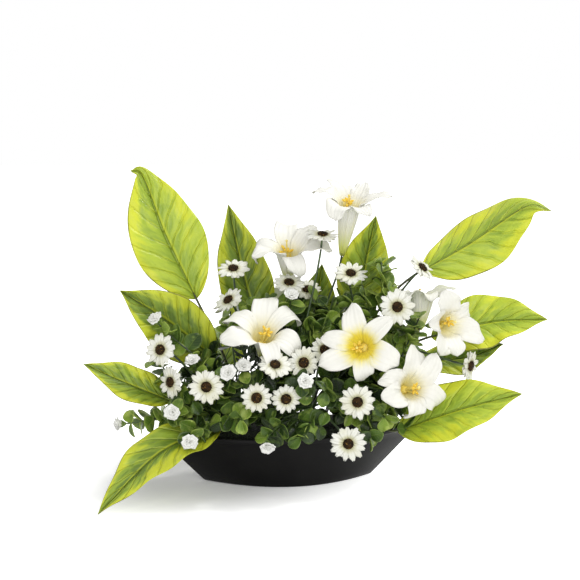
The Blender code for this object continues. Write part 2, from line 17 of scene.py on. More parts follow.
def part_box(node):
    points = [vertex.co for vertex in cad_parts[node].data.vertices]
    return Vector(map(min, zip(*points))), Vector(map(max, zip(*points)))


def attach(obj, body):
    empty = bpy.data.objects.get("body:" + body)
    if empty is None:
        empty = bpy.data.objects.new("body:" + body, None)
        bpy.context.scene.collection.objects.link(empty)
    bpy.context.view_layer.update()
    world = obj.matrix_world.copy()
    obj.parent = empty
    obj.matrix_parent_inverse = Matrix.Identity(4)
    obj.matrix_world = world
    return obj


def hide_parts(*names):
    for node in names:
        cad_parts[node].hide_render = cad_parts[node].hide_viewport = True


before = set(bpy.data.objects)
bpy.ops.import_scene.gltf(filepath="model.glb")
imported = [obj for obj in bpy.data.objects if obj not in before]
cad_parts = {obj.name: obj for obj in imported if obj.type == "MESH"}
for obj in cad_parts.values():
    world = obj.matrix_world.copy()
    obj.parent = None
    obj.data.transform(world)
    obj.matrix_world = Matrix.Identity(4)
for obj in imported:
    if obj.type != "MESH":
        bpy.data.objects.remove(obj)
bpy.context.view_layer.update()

MM = 0.001
UP = Vector((0, 0, 1))
ARRANGEMENT_MIDDLE = Vector((0, 20, 60))

# --- the CAD model's driving dimensions, mm ---
BOWL_LENGTH, BOWL_WIDTH, BOWL_HEIGHT = 306.0, 116.0, 57.0
BASE_LENGTH, BASE_WIDTH = 192.0, 90.0
WALL, LIP_HEIGHT = 2.5, 5.0
FOAM_TOP, PEG_DEPTH = 64.0, 27.0
SEAT_GAP, STRAIGHT_END = 0.3, 2.5
PETIOLE_RADIUS, STEM_RADIUS, BRANCH_RADIUS = 1.7, 1.9, 1.25
DAISY_PETALS, CALYX_DEPTH = 13, 5.0
LILY_PETALS, LILY_MOUTH = 6, 13.0
BOX_LEAF_LENGTH, BOX_LEAF_WIDTH, BOX_LEAF_SPACING = 18.0, 16.0, 13.0
LEAF_TWIST = 24.0
FINE_STEPS = 16

# name: foam entry (x, y), midrib of the blade, the way its upper side faces, half width, rise of the edges
LEAVES = {
    "leaf_top_left": (
        (-50, 17), [(-102, 20, 206), (-137, 30, 280), (-159, 46, 343), (-173, 42, 351)],
        (0.1, -1, 0.15), 42, 0.15),
    "leaf_left": (
        (-68, 6), [(-83, -6, 141), (-140, -21, 189), (-190, -42, 226)], (-0.1, -0.95, 0.3), 34, 0.15),
    "leaf_low_left": (
        (-92, 0), [(-134, -21, 98), (-183, -27, 120), (-231, -27, 144)], (-0.1, -0.72, 0.7), 23, 0.2),
    "leaf_table": (
        (-84, -13), [(-83, -48, 69), (-150, -87, 57), (-221, -130, 3)], (-0.3, -0.6, 0.75), 29, 0.15),
    "leaf_back_left": (
        (-24, 27), [(-23, 49, 150), (-45, 58, 230), (-61, 55, 310)], (0.15, -1, 0.1), 32, 0.2),
    "leaf_back_centre": ((4, 30), [(30, 45, 140), (40, 50, 187), (47, 46, 240)], (0, -1, 0.1), 25, 0.2),
    "leaf_back_right": (
        (32, 27), [(84, 33, 176), (95, 36, 239), (106, 25, 297)], (-0.1, -1, 0.1), 30, 0.2),
    "leaf_top_right": (
        (62, 14), [(152, -8, 237), (206, -17, 270), (263, -40, 312), (289, -54, 309)],
        (0.1, -0.72, 0.7), 36, -0.45),
    "leaf_right": (
        (86, 3), [(160, -26, 164), (226, -45, 183), (281, -74, 189)], (0, -0.8, 0.6), 34, 0.1),
    "leaf_under_right": (
        (70, 2), [(150, -4, 132), (205, -20, 138), (240, -42, 157)], (0, -0.7, 0.7), 24, 0.1),
    "leaf_low_right": (
        (80, -12), [(112, -71, 67), (170, -105, 96), (234, -137, 119)], (0.1, -0.75, 0.65), 35, 0.1),
    "leaf_rear_left": (
        (-56, 18), [(-65, 60, 110), (-66, 110, 145), (-60, 160, 150)], (0, 0.3, 0.95), 30, 0.2),
    "leaf_rear_right": (
        (56, 19), [(70, 60, 110), (85, 105, 145), (95, 150, 150)], (0.1, 0.3, 0.95), 30, 0.2),
}
# Each leaf's cloth, light, mid or deep, was set by how light the leaf looks where it hangs: partly its own
# colour, partly painted light and shade.
LIGHT_LEAVES = ("leaf_top_left", "leaf_top_right", "leaf_right", "leaf_low_right", "leaf_rear_right")
DEEP_LEAVES = ("leaf_left", "leaf_back_left", "leaf_back_centre", "leaf_under_right")
# name: middle of the throat, the way it faces, length from stem to throat, reach of the petals, turn
LILIES = {
    "lily_centre": ((-37, -65, 177), (0.0, -0.66, 0.75), 36, 45, 0),
    "lily_yellow": ((66, -96, 167), (-0.34, -0.91, 0.22), 36, 42, 14),
    "lily_front_right": ((118, -109, 123), (0.27, -0.9, 0.3), 36, 40, 0),
    "lily_right": ((165, -80, 186), (0.43, -0.87, 0.15), 34, 36, 10),
    "lily_top": ((70, 0, 311), (0.07, -0.36, 0.93), 62, 36, 0),
    "lily_top_left": ((1, 5, 257), (-0.06, -0.4, 0.92), 36, 42, 15),
    "lily_back_right": ((150, -20, 205), (0.1, 0.1, 1.0), 34, 32, 0),
    "lily_rear": ((10, 100, 165), (0, 0.8, 0.6), 36, 40, 0),
}
YELLOW_LILIES = ("lily_yellow", "lily_rear")  # their throats are a strong yellow
# middle of the petals, the way it faces, diameter, numbered from 1
DAISIES = [
    ((-61, 9, 241), (-0.1, -0.45, 0.9), 39),
    ((-69, -15, 209), (-0.55, -0.4, 0.7), 36),
    ((-1, -15, 227), (0, -0.5, 0.87), 37),
    ((36, -20, 281), (0.05, -0.25, 0.97), 39),
    ((71, -6, 235), (0, -0.55, 0.83), 40),
    ((105, -97, 210), (-0.1, -1, 0.1), 41),
    ((146, -37, 244), (0.55, -0.45, 0.7), 36),
    ((-148, -54, 162), (-0.55, -0.8, 0.2), 38),
    ((-138, -65, 128), (-0.8, -0.55, 0.1), 38),
    ((-102, -91, 127), (-0.15, -1, 0.1), 40),
    ((-30, -109, 152), (0, -0.6, 0.8), 39),
    ((4, -88, 150), (0, -1, 0.1), 36),
    ((-50, -109, 117), (-0.15, -0.95, 0.2), 34),
    ((-17, -99, 113), (0, -0.95, -0.1), 34),
    ((31, -65, 159), (0.1, -0.8, 0.3), 33),
    ((57, -122, 112), (-0.15, -1, 0.05), 40),
    ((47, -123, 67), (-0.15, -1, 0), 41),
    ((191, -81, 140), (0.7, -0.6, -0.1), 36),
    ((24, 12, 215), (0, -0.5, 0.8), 34),
    ((-60, 75, 190), (-0.3, 0.6, 0.7), 38),
    ((70, 85, 185), (0.3, 0.6, 0.7), 38),
]
# name: foam entry (x, y), fork where the branches part, the heads that it carries
LILY_STEMS = {
    "lily_stem_left": ((-14, -6), (-12, -2, 130), ["lily_centre", "lily_top_left"]),
    "lily_stem_front": ((22, -18), (40, -45, 115), ["lily_yellow", "lily_front_right"]),
    "lily_stem_tall": ((16, 10), (26, 18, 130), ["lily_top", "lily_rear"]),
    "lily_stem_right": ((52, -4), (104, -47, 116), ["lily_right", "lily_back_right"]),
}
DAISY_STEMS = {  # the heads by their numbers
    "daisy_stem_left": ((-60, -18), (-92, -40, 105), [8, 9, 10, 13]),
    "daisy_stem_back": ((-38, 8), (-50, 0, 150), [1, 2, 20]),
    "daisy_stem_centre": ((2, -10), (6, -22, 120), [3, 4, 11, 12, 19]),
    "daisy_stem_front": ((8, -30), (15, -58, 92), [14, 15, 16, 17]),
    "daisy_stem_right": ((44, 8), (80, -12, 140), [5, 6, 7, 18, 21]),
}
# name: foam entry (x, y), fork, number of branches that end in a bud, and all branches, those with a bud
# first, as (tip, its direction, leaf pairs)
BUD_SPRIGS = {
    "bud_sprig_far_left": ((-106, -6), (-120, -26, 82), 2, [
        ((-187, -40, 78), (-1, -0.1, 0), 4),
        ((-137, -84, 99), (-0.2, -1, 0.2), 2),
        ((-150, -30, 150), (-0.5, -0.4, 0.8), 3),
        ((-127, -42, 124), (0, -0.4, 0.9), 2),
        ((-114, -66, 106), (0.2, -1, 0.3), 2),
        ((-126, 38, 100), (-0.3, 0.8, 0.4), 3)]),
    "bud_sprig_left": ((-74, -20), (-88, -45, 88), 2, [
        ((-120, -98, 72), (-0.2, -1, -0.2), 1),
        ((-112, -60, 145), (-0.3, -0.5, 0.8), 3),
        ((-64, -92, 90), (0.2, -1, 0.1), 3),
        ((-98, -78, 76), (0, -0.9, -0.3), 2),
        ((-82, -66, 122), (0.3, -0.3, 0.8), 3)]),
    "bud_sprig_front": ((-6, -38), (-7, -72, 84), 2, [
        ((-38, -103, 68), (-0.1, -0.8, -0.6), 2),
        ((1, -108, 134), (0.1, -1, 0.2), 2),
        ((22, -100, 82), (0.5, -0.8, 0.1), 3),
        ((0, -98, 68), (0.1, -0.9, -0.4), 2),
        ((-3, -96, 112), (0, -0.8, 0.6), 2),
        ((-8, -62, 122), (0, 0.1, 1), 2),
        ((-27, -86, 100), (-0.5, -0.8, 0.4), 2)]),
    "bud_sprig_centre": ((-2, 14), (-3, 0, 160), 1, [
        ((-3, -42, 212), (0, -0.6, 0.8), 2),
        ((14, -16, 200), (0.3, -0.3, 0.9), 2),
        ((34, -6, 210), (0.3, -0.1, 1), 3),
        ((-26, 2, 206), (-0.3, 0.1, 1), 3),
        ((4, 66, 148), (0, 0.8, 0.2), 3)]),
    "bud_sprig_middle_left": ((-46, -24), (-60, -48, 105), 3, [
        ((-77, -85, 139), (-0.2, -0.9, 0.4), 2),
        ((-61, -77, 143), (0, -0.8, 0.6), 1),
        ((-150, -45, 190), (-0.5, -0.5, 0.7), 4),
        ((-66, -6, 195), (0, 0.1, 1), 4),
        ((-14, -46, 160), (0.4, -0.2, 0.9), 3),
        ((-34, -64, 128), (0.5, -0.4, 0.5), 3)]),
    "box_sprig_right": ((62, -22), (92, -46, 98), 0, [
        ((104, -14, 250), (-0.1, 0, 1), 7),
        ((75, -104, 66), (0.2, -0.9, -0.3), 4),
        ((26, -96, 118), (-0.3, -0.8, 0.3), 3),
        ((116, -58, 172), (0.3, -0.4, 0.8), 3),
        ((135, -62, 82), (0.8, -0.4, 0.2), 3),
        ((80, -24, 226), (-0.3, 0, 1), 3),
        ((112, -42, 226), (0.1, -0.3, 1), 3),
        ((138, -64, 194), (0.3, -0.3, 0.9), 2),
        ((90, -104, 90), (-0.1, -0.9, 0.1), 2),
        ((64, -58, 146), (-0.3, -0.1, 1), 3),
        ((56, -86, 92), (-0.5, -0.7, 0.1), 2),
        ((118, -90, 72), (0.5, -0.8, -0.2), 3),
        ((134, 30, 96), (0.5, 0.8, 0), 3)]),
}
FERN_ENTRY, FERN_TIP, FERN_TIP_DIRECTION = (-30, -14), (-64, -72, 172), (-0.3, -0.4, 0.85)
FINGER_PAIRS, FINGER_LENGTH, FINGER_TURN = 6, 11.0, 12.0  # length of the first pair, turn to the next


# --- curves and frames, as in the CAD model ---
def vector(values):
    return Vector(values).normalized()


def bezier(p0, p1, p2, p3, steps):
    """steps + 1 points along a cubic curve."""
    points = []
    for i in range(steps + 1):
        t = i / steps
        s = 1 - t
        points.append(s**3 * p0 + 3 * s * s * t * p1 + 3 * s * t * t * p2 + t**3 * p3)
    return points


def smooth_through(points, steps):
    """steps + 1 points, evenly spaced along a curve that passes through each of the given points."""
    padded = [2 * points[0] - points[1], *points, 2 * points[-1] - points[-2]]
    fine = [points[0]]
    for k in range(len(points) - 1):
        a, b, c, d = padded[k : k + 4]
        for j in range(1, FINE_STEPS + 1):
            t = j / FINE_STEPS
            bend = (2 * a - 5 * b + 4 * c - d) * t * t + (3 * b - a - 3 * c + d) * t**3
            fine.append(0.5 * (2 * b + (c - a) * t + bend))
    lengths = [0.0]
    for a, b in zip(fine, fine[1:]):
        lengths.append(lengths[-1] + (b - a).length)
    found, k = [], 0
    for i in range(steps + 1):
        wanted = lengths[-1] * i / steps
        while k < len(fine) - 2 and lengths[k + 1] < wanted:
            k += 1
        share = (wanted - lengths[k]) / (lengths[k + 1] - lengths[k])
        found.append(fine[k].lerp(fine[k + 1], share))
    return found


def tangents(points):
    last = len(points) - 1
    return [(points[min(i + 1, last)] - points[max(i - 1, 0)]).normalized() for i in range(len(points))]


def foam_exit(entry):
    """(point on top of the foam, the way a stem leaves it)."""
    x, y = entry
    return Vector((x, y, FOAM_TOP)), vector((x * 0.0035, y * 0.008, 1))


def rotation_to(axis, turn=0.0):
    """The rotation that brings +Z to axis and keeps +Y as near up as it can be, after a turn about Z."""
    axis = axis.normalized()
    guide = UP if abs(axis.z) < 0.95 else Vector((0, 1, 0))
    up = (guide - axis * guide.dot(axis)).normalized()
    across = up.cross(axis)
    facing = Matrix((across, up, axis)).transposed().to_quaternion()
    return facing @ Quaternion((0, 0, 1), math.radians(turn))


def path_length(path):
    return sum((b - a).length for a, b in zip(path, path[1:]))


def place_on(path, back):
    """(point, direction) on a path, this far back from its end."""
    for a, b in zip(reversed(path[:-1]), reversed(path)):
        span = (b - a).length
        if back <= span:
            return b.lerp(a, back / span), (b - a).normalized()
        back -= span
    return path[0], (path[1] - path[0]).normalized()


def leaf_seat(path, back):
    """(point, direction, way to the outside of the arrangement, way across) on a branch."""
    root, along = place_on(path, back)
    outside = (root - ARRANGEMENT_MIDDLE).normalized()
    return root, along, outside, along.cross(outside).normalized()


def seat(middle, axis, depth):
    """(point, direction) of a head's socket, where its branch ends."""
    return Vector(middle) - vector(axis) * depth, vector(axis)


def check_place(node, point, margin):
    """Stops the script if a table's point isn't inside the CAD node's box, give or take a margin."""
    low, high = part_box(node)
    for value, a, b in zip(point, low, high):
        if not a / MM - margin <= value <= b / MM + margin:
            raise SystemExit(f"{node}: the table says {tuple(point)}, outside the CAD node")


def taper(path, radius, loss=0.0):
    """A radius for each point of a path, which shrinks by loss along it."""
    return [radius - loss * i / len(path) for i in range(len(path))]


# --- grids of points, from which sheets are made ---
SMALL_GRID = (8, 7)  # rows and columns of a small leaf, a daisy's petal and a bud's petal


def shares(rows, columns):
    """At each point of a grid, the share of the way along it, and the side from -1 to 1."""
    return np.meshgrid(np.linspace(0, 1, rows), np.linspace(-1, 1, columns), indexing="ij")


def laid(root, out, side, face, ahead, aside, lift):
    """The grid of points that lie this far ahead, aside and up from a root."""
    steps = zip((out, side, face), (ahead, aside, lift))
    return np.array(root) + sum(step[..., None] * np.array(way) for way, step in steps)


def spun(grid, angle):
    """A grid turned about Z."""
    c, s = math.cos(angle), math.sin(angle)
    return grid @ np.array([[c, s, 0], [-s, c, 0], [0, 0, 1]])


def walked(steps):
    """How far each row is from the first, where each row's step leads to the next row."""
    return np.cumsum(steps, axis=0) - steps


def far_side(u):
    """What sets the waves of a sheet's two edges out of step."""
    return np.where(u > 0, 1.3, 0.0)


# --- mesh building ---
SHEET = 0.5  # thickness of the cloth of lilies and big leaves


def between_rings(first, last, sides):
    """The faces from each ring of points to the next, from point first until the ring at point last."""
    faces = []
    for a in range(first, last, sides):
        for k in range(sides):
            n = (k + 1) % sides
            faces.append((a + k, a + n, a + sides + n, a + sides + k))
    return faces


def add_object(name, data):
    made = bpy.data.objects.new(name, data)
    bpy.context.scene.collection.objects.link(made)
    return made


class Skin:
    """The faces of one piece, each with its material. Only sheets have a UV: x across and y along them."""

    def __init__(self, *materials):
        self.materials = list(materials)
        self.points, self.uvs, self.faces, self.slots = [], [], [], []
        self.count = 0

    def add(self, points, groups, uvs=None):
        """Points, and the faces on them in groups of one material each."""
        for material, faces in groups:
            self.faces += [[int(i) + self.count for i in face] for face in faces]
            self.slots += [self.materials.index(material)] * len(faces)
        self.points.append(np.reshape(points, (-1, 3)))
        self.count += len(self.points[-1])
        self.uvs.append(np.zeros((len(self.points[-1]), 2)) if uvs is None else np.reshape(uvs, (-1, 2)))

    def sheet(self, points, material, back_material=None, thickness=SHEET):
        """A closed sheet through a grid of points."""
        rows, columns = points.shape[:2]
        normal = np.cross(np.gradient(points, axis=1), np.gradient(points, axis=0))
        normal /= np.maximum(np.linalg.norm(normal, axis=2, keepdims=True), 1e-9)
        half = normal * thickness / 2
        uv = np.stack(np.meshgrid(np.linspace(0, 1, columns), np.linspace(0, 1, rows)), axis=2)
        index = np.arange(rows * columns).reshape(rows, columns)
        corners = [index[:-1, :-1], index[:-1, 1:], index[1:, 1:], index[1:, :-1]]
        front = np.stack(corners, axis=2).reshape(-1, 4)
        back = front[:, ::-1] + index.size
        rim = np.concatenate([index[0, :-1], index[:-1, -1], index[-1, :0:-1], index[:0:-1, 0]])
        onward = np.roll(rim, -1)
        sides = np.stack([onward, rim, rim + index.size, onward + index.size], axis=1)
        groups = [(material, front), (back_material or material, back), (material, sides)]
        self.add([points + half, points - half], groups, [uv, uv])

    def stack(self, rings, material):
        """A closed skin over a stack of rings, flat at both ends."""
        sides, last = len(rings[0]), (len(rings) - 1) * len(rings[0])
        ends = [tuple(reversed(range(sides))), tuple(range(last, last + sides))]
        points = [tuple(p) for ring in rings for p in ring]
        self.add(points, [(material, between_rings(0, last, sides) + ends)])

    def tube(self, path, radii, material, sides=10, end_direction=None):
        """A round bar, cut square at its ends."""
        along = tangents(path)
        if end_direction:
            along[-1] = end_direction
        normal = along[0].orthogonal().normalized()
        rings = []
        for point, direction, radius in zip(path, along, radii):
            normal = (normal - direction * normal.dot(direction)).normalized()
            side = direction.cross(normal)
            angles = [2 * math.pi * k / sides for k in range(sides)]
            rings.append([point + radius * (math.cos(a) * normal + math.sin(a) * side) for a in angles])
        self.stack(rings, material)

    def blob(self, centre, axis, length, radius, material, rings=5, sides=8):
        """A rounded seed shape from centre along axis."""
        turn = rotation_to(axis)
        points = [tuple(centre)]
        for i in range(1, rings):
            r, z = radius * math.sin(math.pi * i / rings) ** 0.7, length * i / rings
            for k in range(sides):
                a = 2 * math.pi * k / sides
                points.append(tuple(centre + turn @ Vector((-r * math.sin(a), r * math.cos(a), z))))
        points.append(tuple(centre + axis * length))
        last = len(points) - 1
        faces = between_rings(1, last - sides, sides)
        for k in range(sides):
            n = (k + 1) % sides
            faces += [(0, 1 + n, 1 + k), (last - sides + k, last - sides + n, last)]
        self.add(points, [(material, faces)])

    def make(self, name, place=Vector(), turn=None):
        """The piece as an object, turned and moved from its own space to its place."""
        points = np.concatenate(self.points)
        if turn is not None:
            points = points @ np.array(turn.to_matrix()).T
        points = (points + np.array(place)) * MM
        mesh = bpy.data.meshes.new(name)
        mesh.from_pydata(points.tolist(), [], self.faces)
        layer = mesh.uv_layers.new(name="leaf_uv")
        corners = np.empty(len(mesh.loops), np.int32)
        mesh.loops.foreach_get("vertex_index", corners)
        layer.data.foreach_set("uv", np.concatenate(self.uvs)[corners].ravel())
        mesh.polygons.foreach_set("material_index", self.slots)
        mesh.shade_smooth()
        for item in self.materials:
            mesh.materials.append(item)
        mesh.update()
        return add_object(name, mesh)


def declare(piece, node):
    """piece rides on the root body and stands for its CAD node."""
    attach(piece, "root")
    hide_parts(node)


# --- materials ---
def arithmetic(operation):
    return lambda wire, *others: wire.graph.math(operation, wire, *others)


class Wire:
    """What a node puts out. Arithmetic with it adds a Math node."""

    def __init__(self, graph, socket):
        self.graph, self.socket = graph, socket

    __add__, __sub__ = arithmetic("ADD"), arithmetic("SUBTRACT")
    __mul__, __pow__ = arithmetic("MULTIPLY"), arithmetic("POWER")
    __abs__ = arithmetic("ABSOLUTE")


class Graph:
    """The nodes of a material or of the world."""

    def __init__(self, tree):
        self.tree = tree

    def link(self, value, socket):
        if isinstance(value, Wire):
            self.tree.links.new(value.socket, socket)
        elif isinstance(value, tuple):
            socket.default_value = (*value, 1) if socket.type == "RGBA" else value
        else:
            socket.default_value = value

    def node(self, kind, sockets=None, output=0, **settings):
        """One output of a new node that has these values in its sockets."""
        made = self.tree.nodes.new("ShaderNode" + kind)
        for key, value in settings.items():
            setattr(made, key, value)
        for key, value in (sockets or {}).items():
            self.link(value, made.inputs[key])
        return Wire(self, made.outputs[output])

    def math(self, operation, *values):
        return self.node("Math", dict(enumerate(values)), operation=operation)

    def smooth(self, value, low, high):
        """0 at low and 1 at high, with a soft step between."""
        sockets = {"Value": value, "From Min": low, "From Max": high}
        return self.node("MapRange", sockets, interpolation_type="SMOOTHSTEP")

    def fade(self, value, low, high, first, second):
        """The first colour where value is at low, and the second at high."""
        return self.mix(self.smooth(value, low, high), first, second)

    def mix(self, factor, first, second):
        return self.node("Mix", {0: factor, 6: first, 7: second}, 2, data_type="RGBA")

    def uv(self):
        """(across, along) of a sheet, each from 0 to 1."""
        where = {0: self.node("UVMap", uv_map="leaf_uv")}
        return self.node("SeparateXYZ", where), self.node("SeparateXYZ", where, 1)

    def vector(self, *values):
        return self.node("CombineXYZ", dict(enumerate(values)))

    def place(self):
        """The point in the object's own space, in metres."""
        return self.node("TexCoord", output="Object")

    def piece_random(self):
        return self.node("ObjectInfo", output="Random")

    def noise(self, where, scale, detail, distortion):
        sockets = {"Vector": where, "Scale": scale, "Detail": detail, "Distortion": distortion}
        return self.node("TexNoise", sockets)

    def grain(self, scale, detail=3.0):
        """Noise through the piece's own space."""
        return self.noise(self.place(), scale, detail, 0.0)

    def streaks(self, *where, detail=3.0, distortion=0.0):
        """Noise at a place that is worked out from the UV."""
        return self.noise(self.vector(*where), 1.0, detail, distortion)

    def cells(self, scale):
        return self.node("TexVoronoi", {"Vector": self.place(), "Scale": scale})

    def emission(self, kind, strength):
        """White light of a strength, by an Emission or Background node."""
        return self.node(kind, {"Color": (1.0, 1.0, 1.0), "Strength": strength})

    def seen(self):
        """1 for rays that see a surface, straight or by mirror or glass, and 0 for rays that light others."""
        names = ("Is Glossy Ray", "Is Transmission Ray")
        mirrored = self.math("MAXIMUM", *(self.node("LightPath", output=name) for name in names))
        return self.math("MAXIMUM", self.node("LightPath", output="Is Camera Ray"), mirrored)

    def finish(self, shader, output):
        self.link(shader, self.tree.nodes[output].inputs["Surface"])


class Surface(Graph):
    """A material made of nodes round one Principled shader."""

    def __init__(self, name, roughness, colour=(0.5, 0.5, 0.5), **settings):
        self.material = bpy.data.materials.new(name)
        self.material.use_nodes = True
        super().__init__(self.material.node_tree)
        self.shader = self.tree.nodes["Principled BSDF"]
        for socket, value in {"Roughness": roughness, "Base_Color": colour, **settings}.items():
            self.link(value, self.shader.inputs[socket.replace("_", " ")])

    def colour(self, value):
        self.link(value, self.shader.inputs["Base Color"])

    def roughness(self, value):
        self.link(value, self.shader.inputs["Roughness"])

    def bump(self, height, distance):
        self.link(self.node("Bump", {"Height": height, "Distance": distance}), self.shader.inputs["Normal"])


VEIN_COUNT, VEIN_SWEEP = 8.0, 0.24  # side veins along a blade, and the share of it that each runs forward


def leaf_cloth(name, body, deep, lime, lime_from):
    """Printed cloth leaf: deep green by the midrib, feathering out along the veins to lime at the edges."""
    g = Surface("leaf_cloth_" + name, 0.36, Specular_IOR_Level=0.4)
    x, y = g.uv()
    side = x * 2 - 1
    away = abs(side)
    seed = g.piece_random() * 37 + g.math("SIGN", side)
    wander = g.streaks(x * 3, y * 7, seed, detail=2)
    phase = (y - away**0.8 * VEIN_SWEEP) * VEIN_COUNT + (wander - 0.5) * 0.5
    streak = g.streaks(phase * 2.4, away * 1.1, seed, detail=4, distortion=0.4)
    patch = g.streaks(phase * 0.34, away * 1.2, seed, detail=2)
    mottle = g.streaks(phase * 1.3, away * 3.2, seed, detail=3, distortion=0.6)
    feather = (streak - 0.5) * 1.1
    green = g.fade(away * 0.8 + feather + (mottle - 0.5), -0.05, 0.55, deep, body)
    reach = away + feather * 0.8 + (patch - 0.5) * 1.7
    cloth = g.fade(reach, lime_from - 0.14, lime_from + 0.26, green, lime)
    vein = abs(g.math("FRACT", phase) - 0.5)  # 0 between two side veins and 0.5 on one
    # Painted light on the embossed veins: lime beside each side vein is a painted highlight on its ridge, and
    # the darker line on it is painted shade in its groove.
    plain = g.smooth(away, 0.95, 0.55) * g.smooth(mottle, 0.36, 0.56)
    beside = g.smooth(vein, 0.3, 0.43) * g.smooth(vein, 0.48, 0.45)
    cloth = g.mix(beside * plain * 0.38, cloth, lime)
    cloth = g.mix(g.smooth(vein, 0.455, 0.49) * plain * 0.24, cloth, deep)
    # a painted highlight along one side of the midrib's groove
    painted_midrib_highlight = g.smooth(side, 0.02, 0.05) * g.smooth(side, 0.13, 0.07)
    cloth = g.mix(painted_midrib_highlight * 0.5, cloth, lime)
    # the midrib's darker line is painted shade in its groove
    midrib = g.smooth(away, 0.05, 0.015)
    cloth = g.mix(midrib * 0.42, cloth, tuple(0.55 * value for value in deep))
    frayed = g.smooth(away, 0.95, 0.985) * g.smooth(patch, 0.47, 0.55)
    g.colour(g.mix(frayed * 0.75, cloth, (0.1, 0.085, 0.02)))
    weave = g.streaks(x * 170, y * 420, detail=1)
    hollow = g.smooth(vein, 0.38, 0.5) + midrib * 1.5
    g.bump(weave * 0.1 + mottle * 2.2 + streak * 0.9 - hollow, 0.0009)
    g.roughness(mottle * 0.24 + 0.28)
    return g.material


def petal_cloth(name, tip, base, base_from, base_to, ribs, deep=None, tint=0.0):
    """Soft ribbed cloth: tip colour, then base colour towards the foot, then deep, if given, at the foot."""
    g = Surface(name, 0.5, Sheen_Weight=0.1, Specular_IOR_Level=0.3)
    x, y = g.uv()
    fine = g.streaks(x * 26, y * 2.5, g.piece_random())
    along = y + (fine - 0.5) * 0.18
    body = g.fade(along, base_from, base_to, base, tip)
    if deep:
        deep_colour, deep_from, deep_to = deep
        body = g.fade(along, deep_from, deep_to, deep_colour, body)
    body = g.mix(g.smooth(g.grain(60, 2), 0.4, 0.75) * tint, body, base)
    g.colour(g.mix(g.smooth(fine, 0.45, 0.8) * 0.12, body, (0.7, 0.68, 0.52)))
    g.bump(g.math("SINE", x * (2 * math.pi * ribs)) * 0.4 + fine * 0.8, 0.0004)
    return g.material


def plain_colour(name, dark, light, scale, roughness=0.5, finer=6):
    """One colour that drifts from dark to light, with a fine grain."""
    g = Surface(name, roughness)
    g.colour(g.fade(g.grain(scale, 4), 0.35, 0.65, dark, light))
    g.bump(g.grain(scale * finer, 2), 0.0003)
    return g.material


def leaf_stalk():
    g = Surface("leaf_stalk", 0.5)
    grain = g.grain(320)
    g.colour(g.fade(grain, 0.35, 0.7, (0.028, 0.026, 0.012), (0.09, 0.11, 0.025)))
    g.bump(grain, 0.0004)
    return g.material


def daisy_disc():
    """Near black with brown patches and amber flecks."""
    g = Surface("daisy_disc", 0.6, Specular_IOR_Level=0.12)
    patch = g.smooth(g.grain(260, 2), 0.35, 0.7)
    body = g.mix(patch, (0.014, 0.008, 0.003), (0.055, 0.027, 0.008))
    g.colour(g.fade(g.grain(620, 2), 0.63, 0.72, body, (0.36, 0.2, 0.04)))
    g.bump(g.cells(750), 0.0006)
    return g.material


def box_leaf_plastic(name, dark, light, pale):
    """Small round leaf: mottled green with veins, paler in spots, and paler at its rim, partly as a painted
    highlight.
    """
    g = Surface("box_leaf_" + name, 0.33, Specular_IOR_Level=0.28)
    x, y = g.uv()
    away, end = abs(x * 2 - 1), abs(y * 2 - 1)
    grain = g.grain(240)
    rim = g.math("MAXIMUM", away, end**2.0) + (grain - 0.5) * 0.5
    body = g.fade(g.grain(34, 1), 0.36, 0.64, dark, light)
    body = g.mix(g.smooth(g.grain(95, 2), 0.5, 0.68) * 0.55, body, pale)
    # paler at the rim: partly a lighter edge colour, partly a painted highlight of the glossy edge
    body = g.mix(g.smooth(rim, 0.7, 1.15) * 0.5, body, pale)
    vein = abs(g.math("FRACT", (y - away * 0.25) * 6) - 0.5)
    line = g.math("MAXIMUM", g.smooth(vein, 0.42, 0.49), g.smooth(away, 0.1, 0.03))
    g.colour(g.mix(line * 0.18, body, pale))
    g.bump(grain * 0.3 - line, 0.0004)
    return g.material


def bowl_plastic():
    g = Surface("bowl_black_plastic", 0.36, Specular_IOR_Level=0.14)
    fine = g.grain(1400, 2)
    broad = g.grain(30)
    g.colour(g.fade(broad, 0.35, 0.7, (0.0025, 0.0023, 0.0023), (0.005, 0.0047, 0.0046)))
    g.roughness(broad * 0.16 + 0.32)
    g.bump(fine * 0.25 + broad * 0.6, 0.0003)
    return g.material


def foam_surface():
    g = Surface("floral_foam_surface", 0.95)
    pores = g.cells(420)
    patch = g.smooth(g.grain(45, 4), 0.4, 0.65)
    # very dark greens: partly the foam's own green, partly painted shade of the foliage over it
    body = g.mix(patch, (0.012, 0.02, 0.008), (0.04, 0.055, 0.018))
    g.colour(g.fade(pores, 0.25, 0.6, body, (0.005, 0.007, 0.003)))
    g.bump(pores, 0.0015)
    return g.material


LIGHT_CLOTH = leaf_cloth("light", (0.47, 0.59, 0.045), (0.27, 0.39, 0.028), (0.66, 0.71, 0.035), 0.68)
MID_CLOTH = leaf_cloth("mid", (0.31, 0.43, 0.04), (0.13, 0.21, 0.017), (0.61, 0.66, 0.035), 0.6)
DEEP_CLOTH = leaf_cloth("deep", (0.23, 0.33, 0.034), (0.095, 0.16, 0.014), (0.55, 0.61, 0.035), 0.66)
LEAF_STALK = leaf_stalk()
STEM = plain_colour("stem_plastic", (0.02, 0.036, 0.012), (0.07, 0.12, 0.03), 90, 0.45, finer=10)
LILY_INSIDE = petal_cloth(
    "lily_petal_inside", (0.89, 0.88, 0.81), (0.9, 0.87, 0.62), 0.34, 0.62, 5,
    deep=((0.94, 0.86, 0.36), 0.2, 0.46))
LILY_INSIDE_YELLOW = petal_cloth(
    "lily_petal_inside_yellow", (0.9, 0.89, 0.82), (0.96, 0.89, 0.4), 0.46, 0.7, 5,
    deep=((0.97, 0.84, 0.08), 0.4, 0.56))
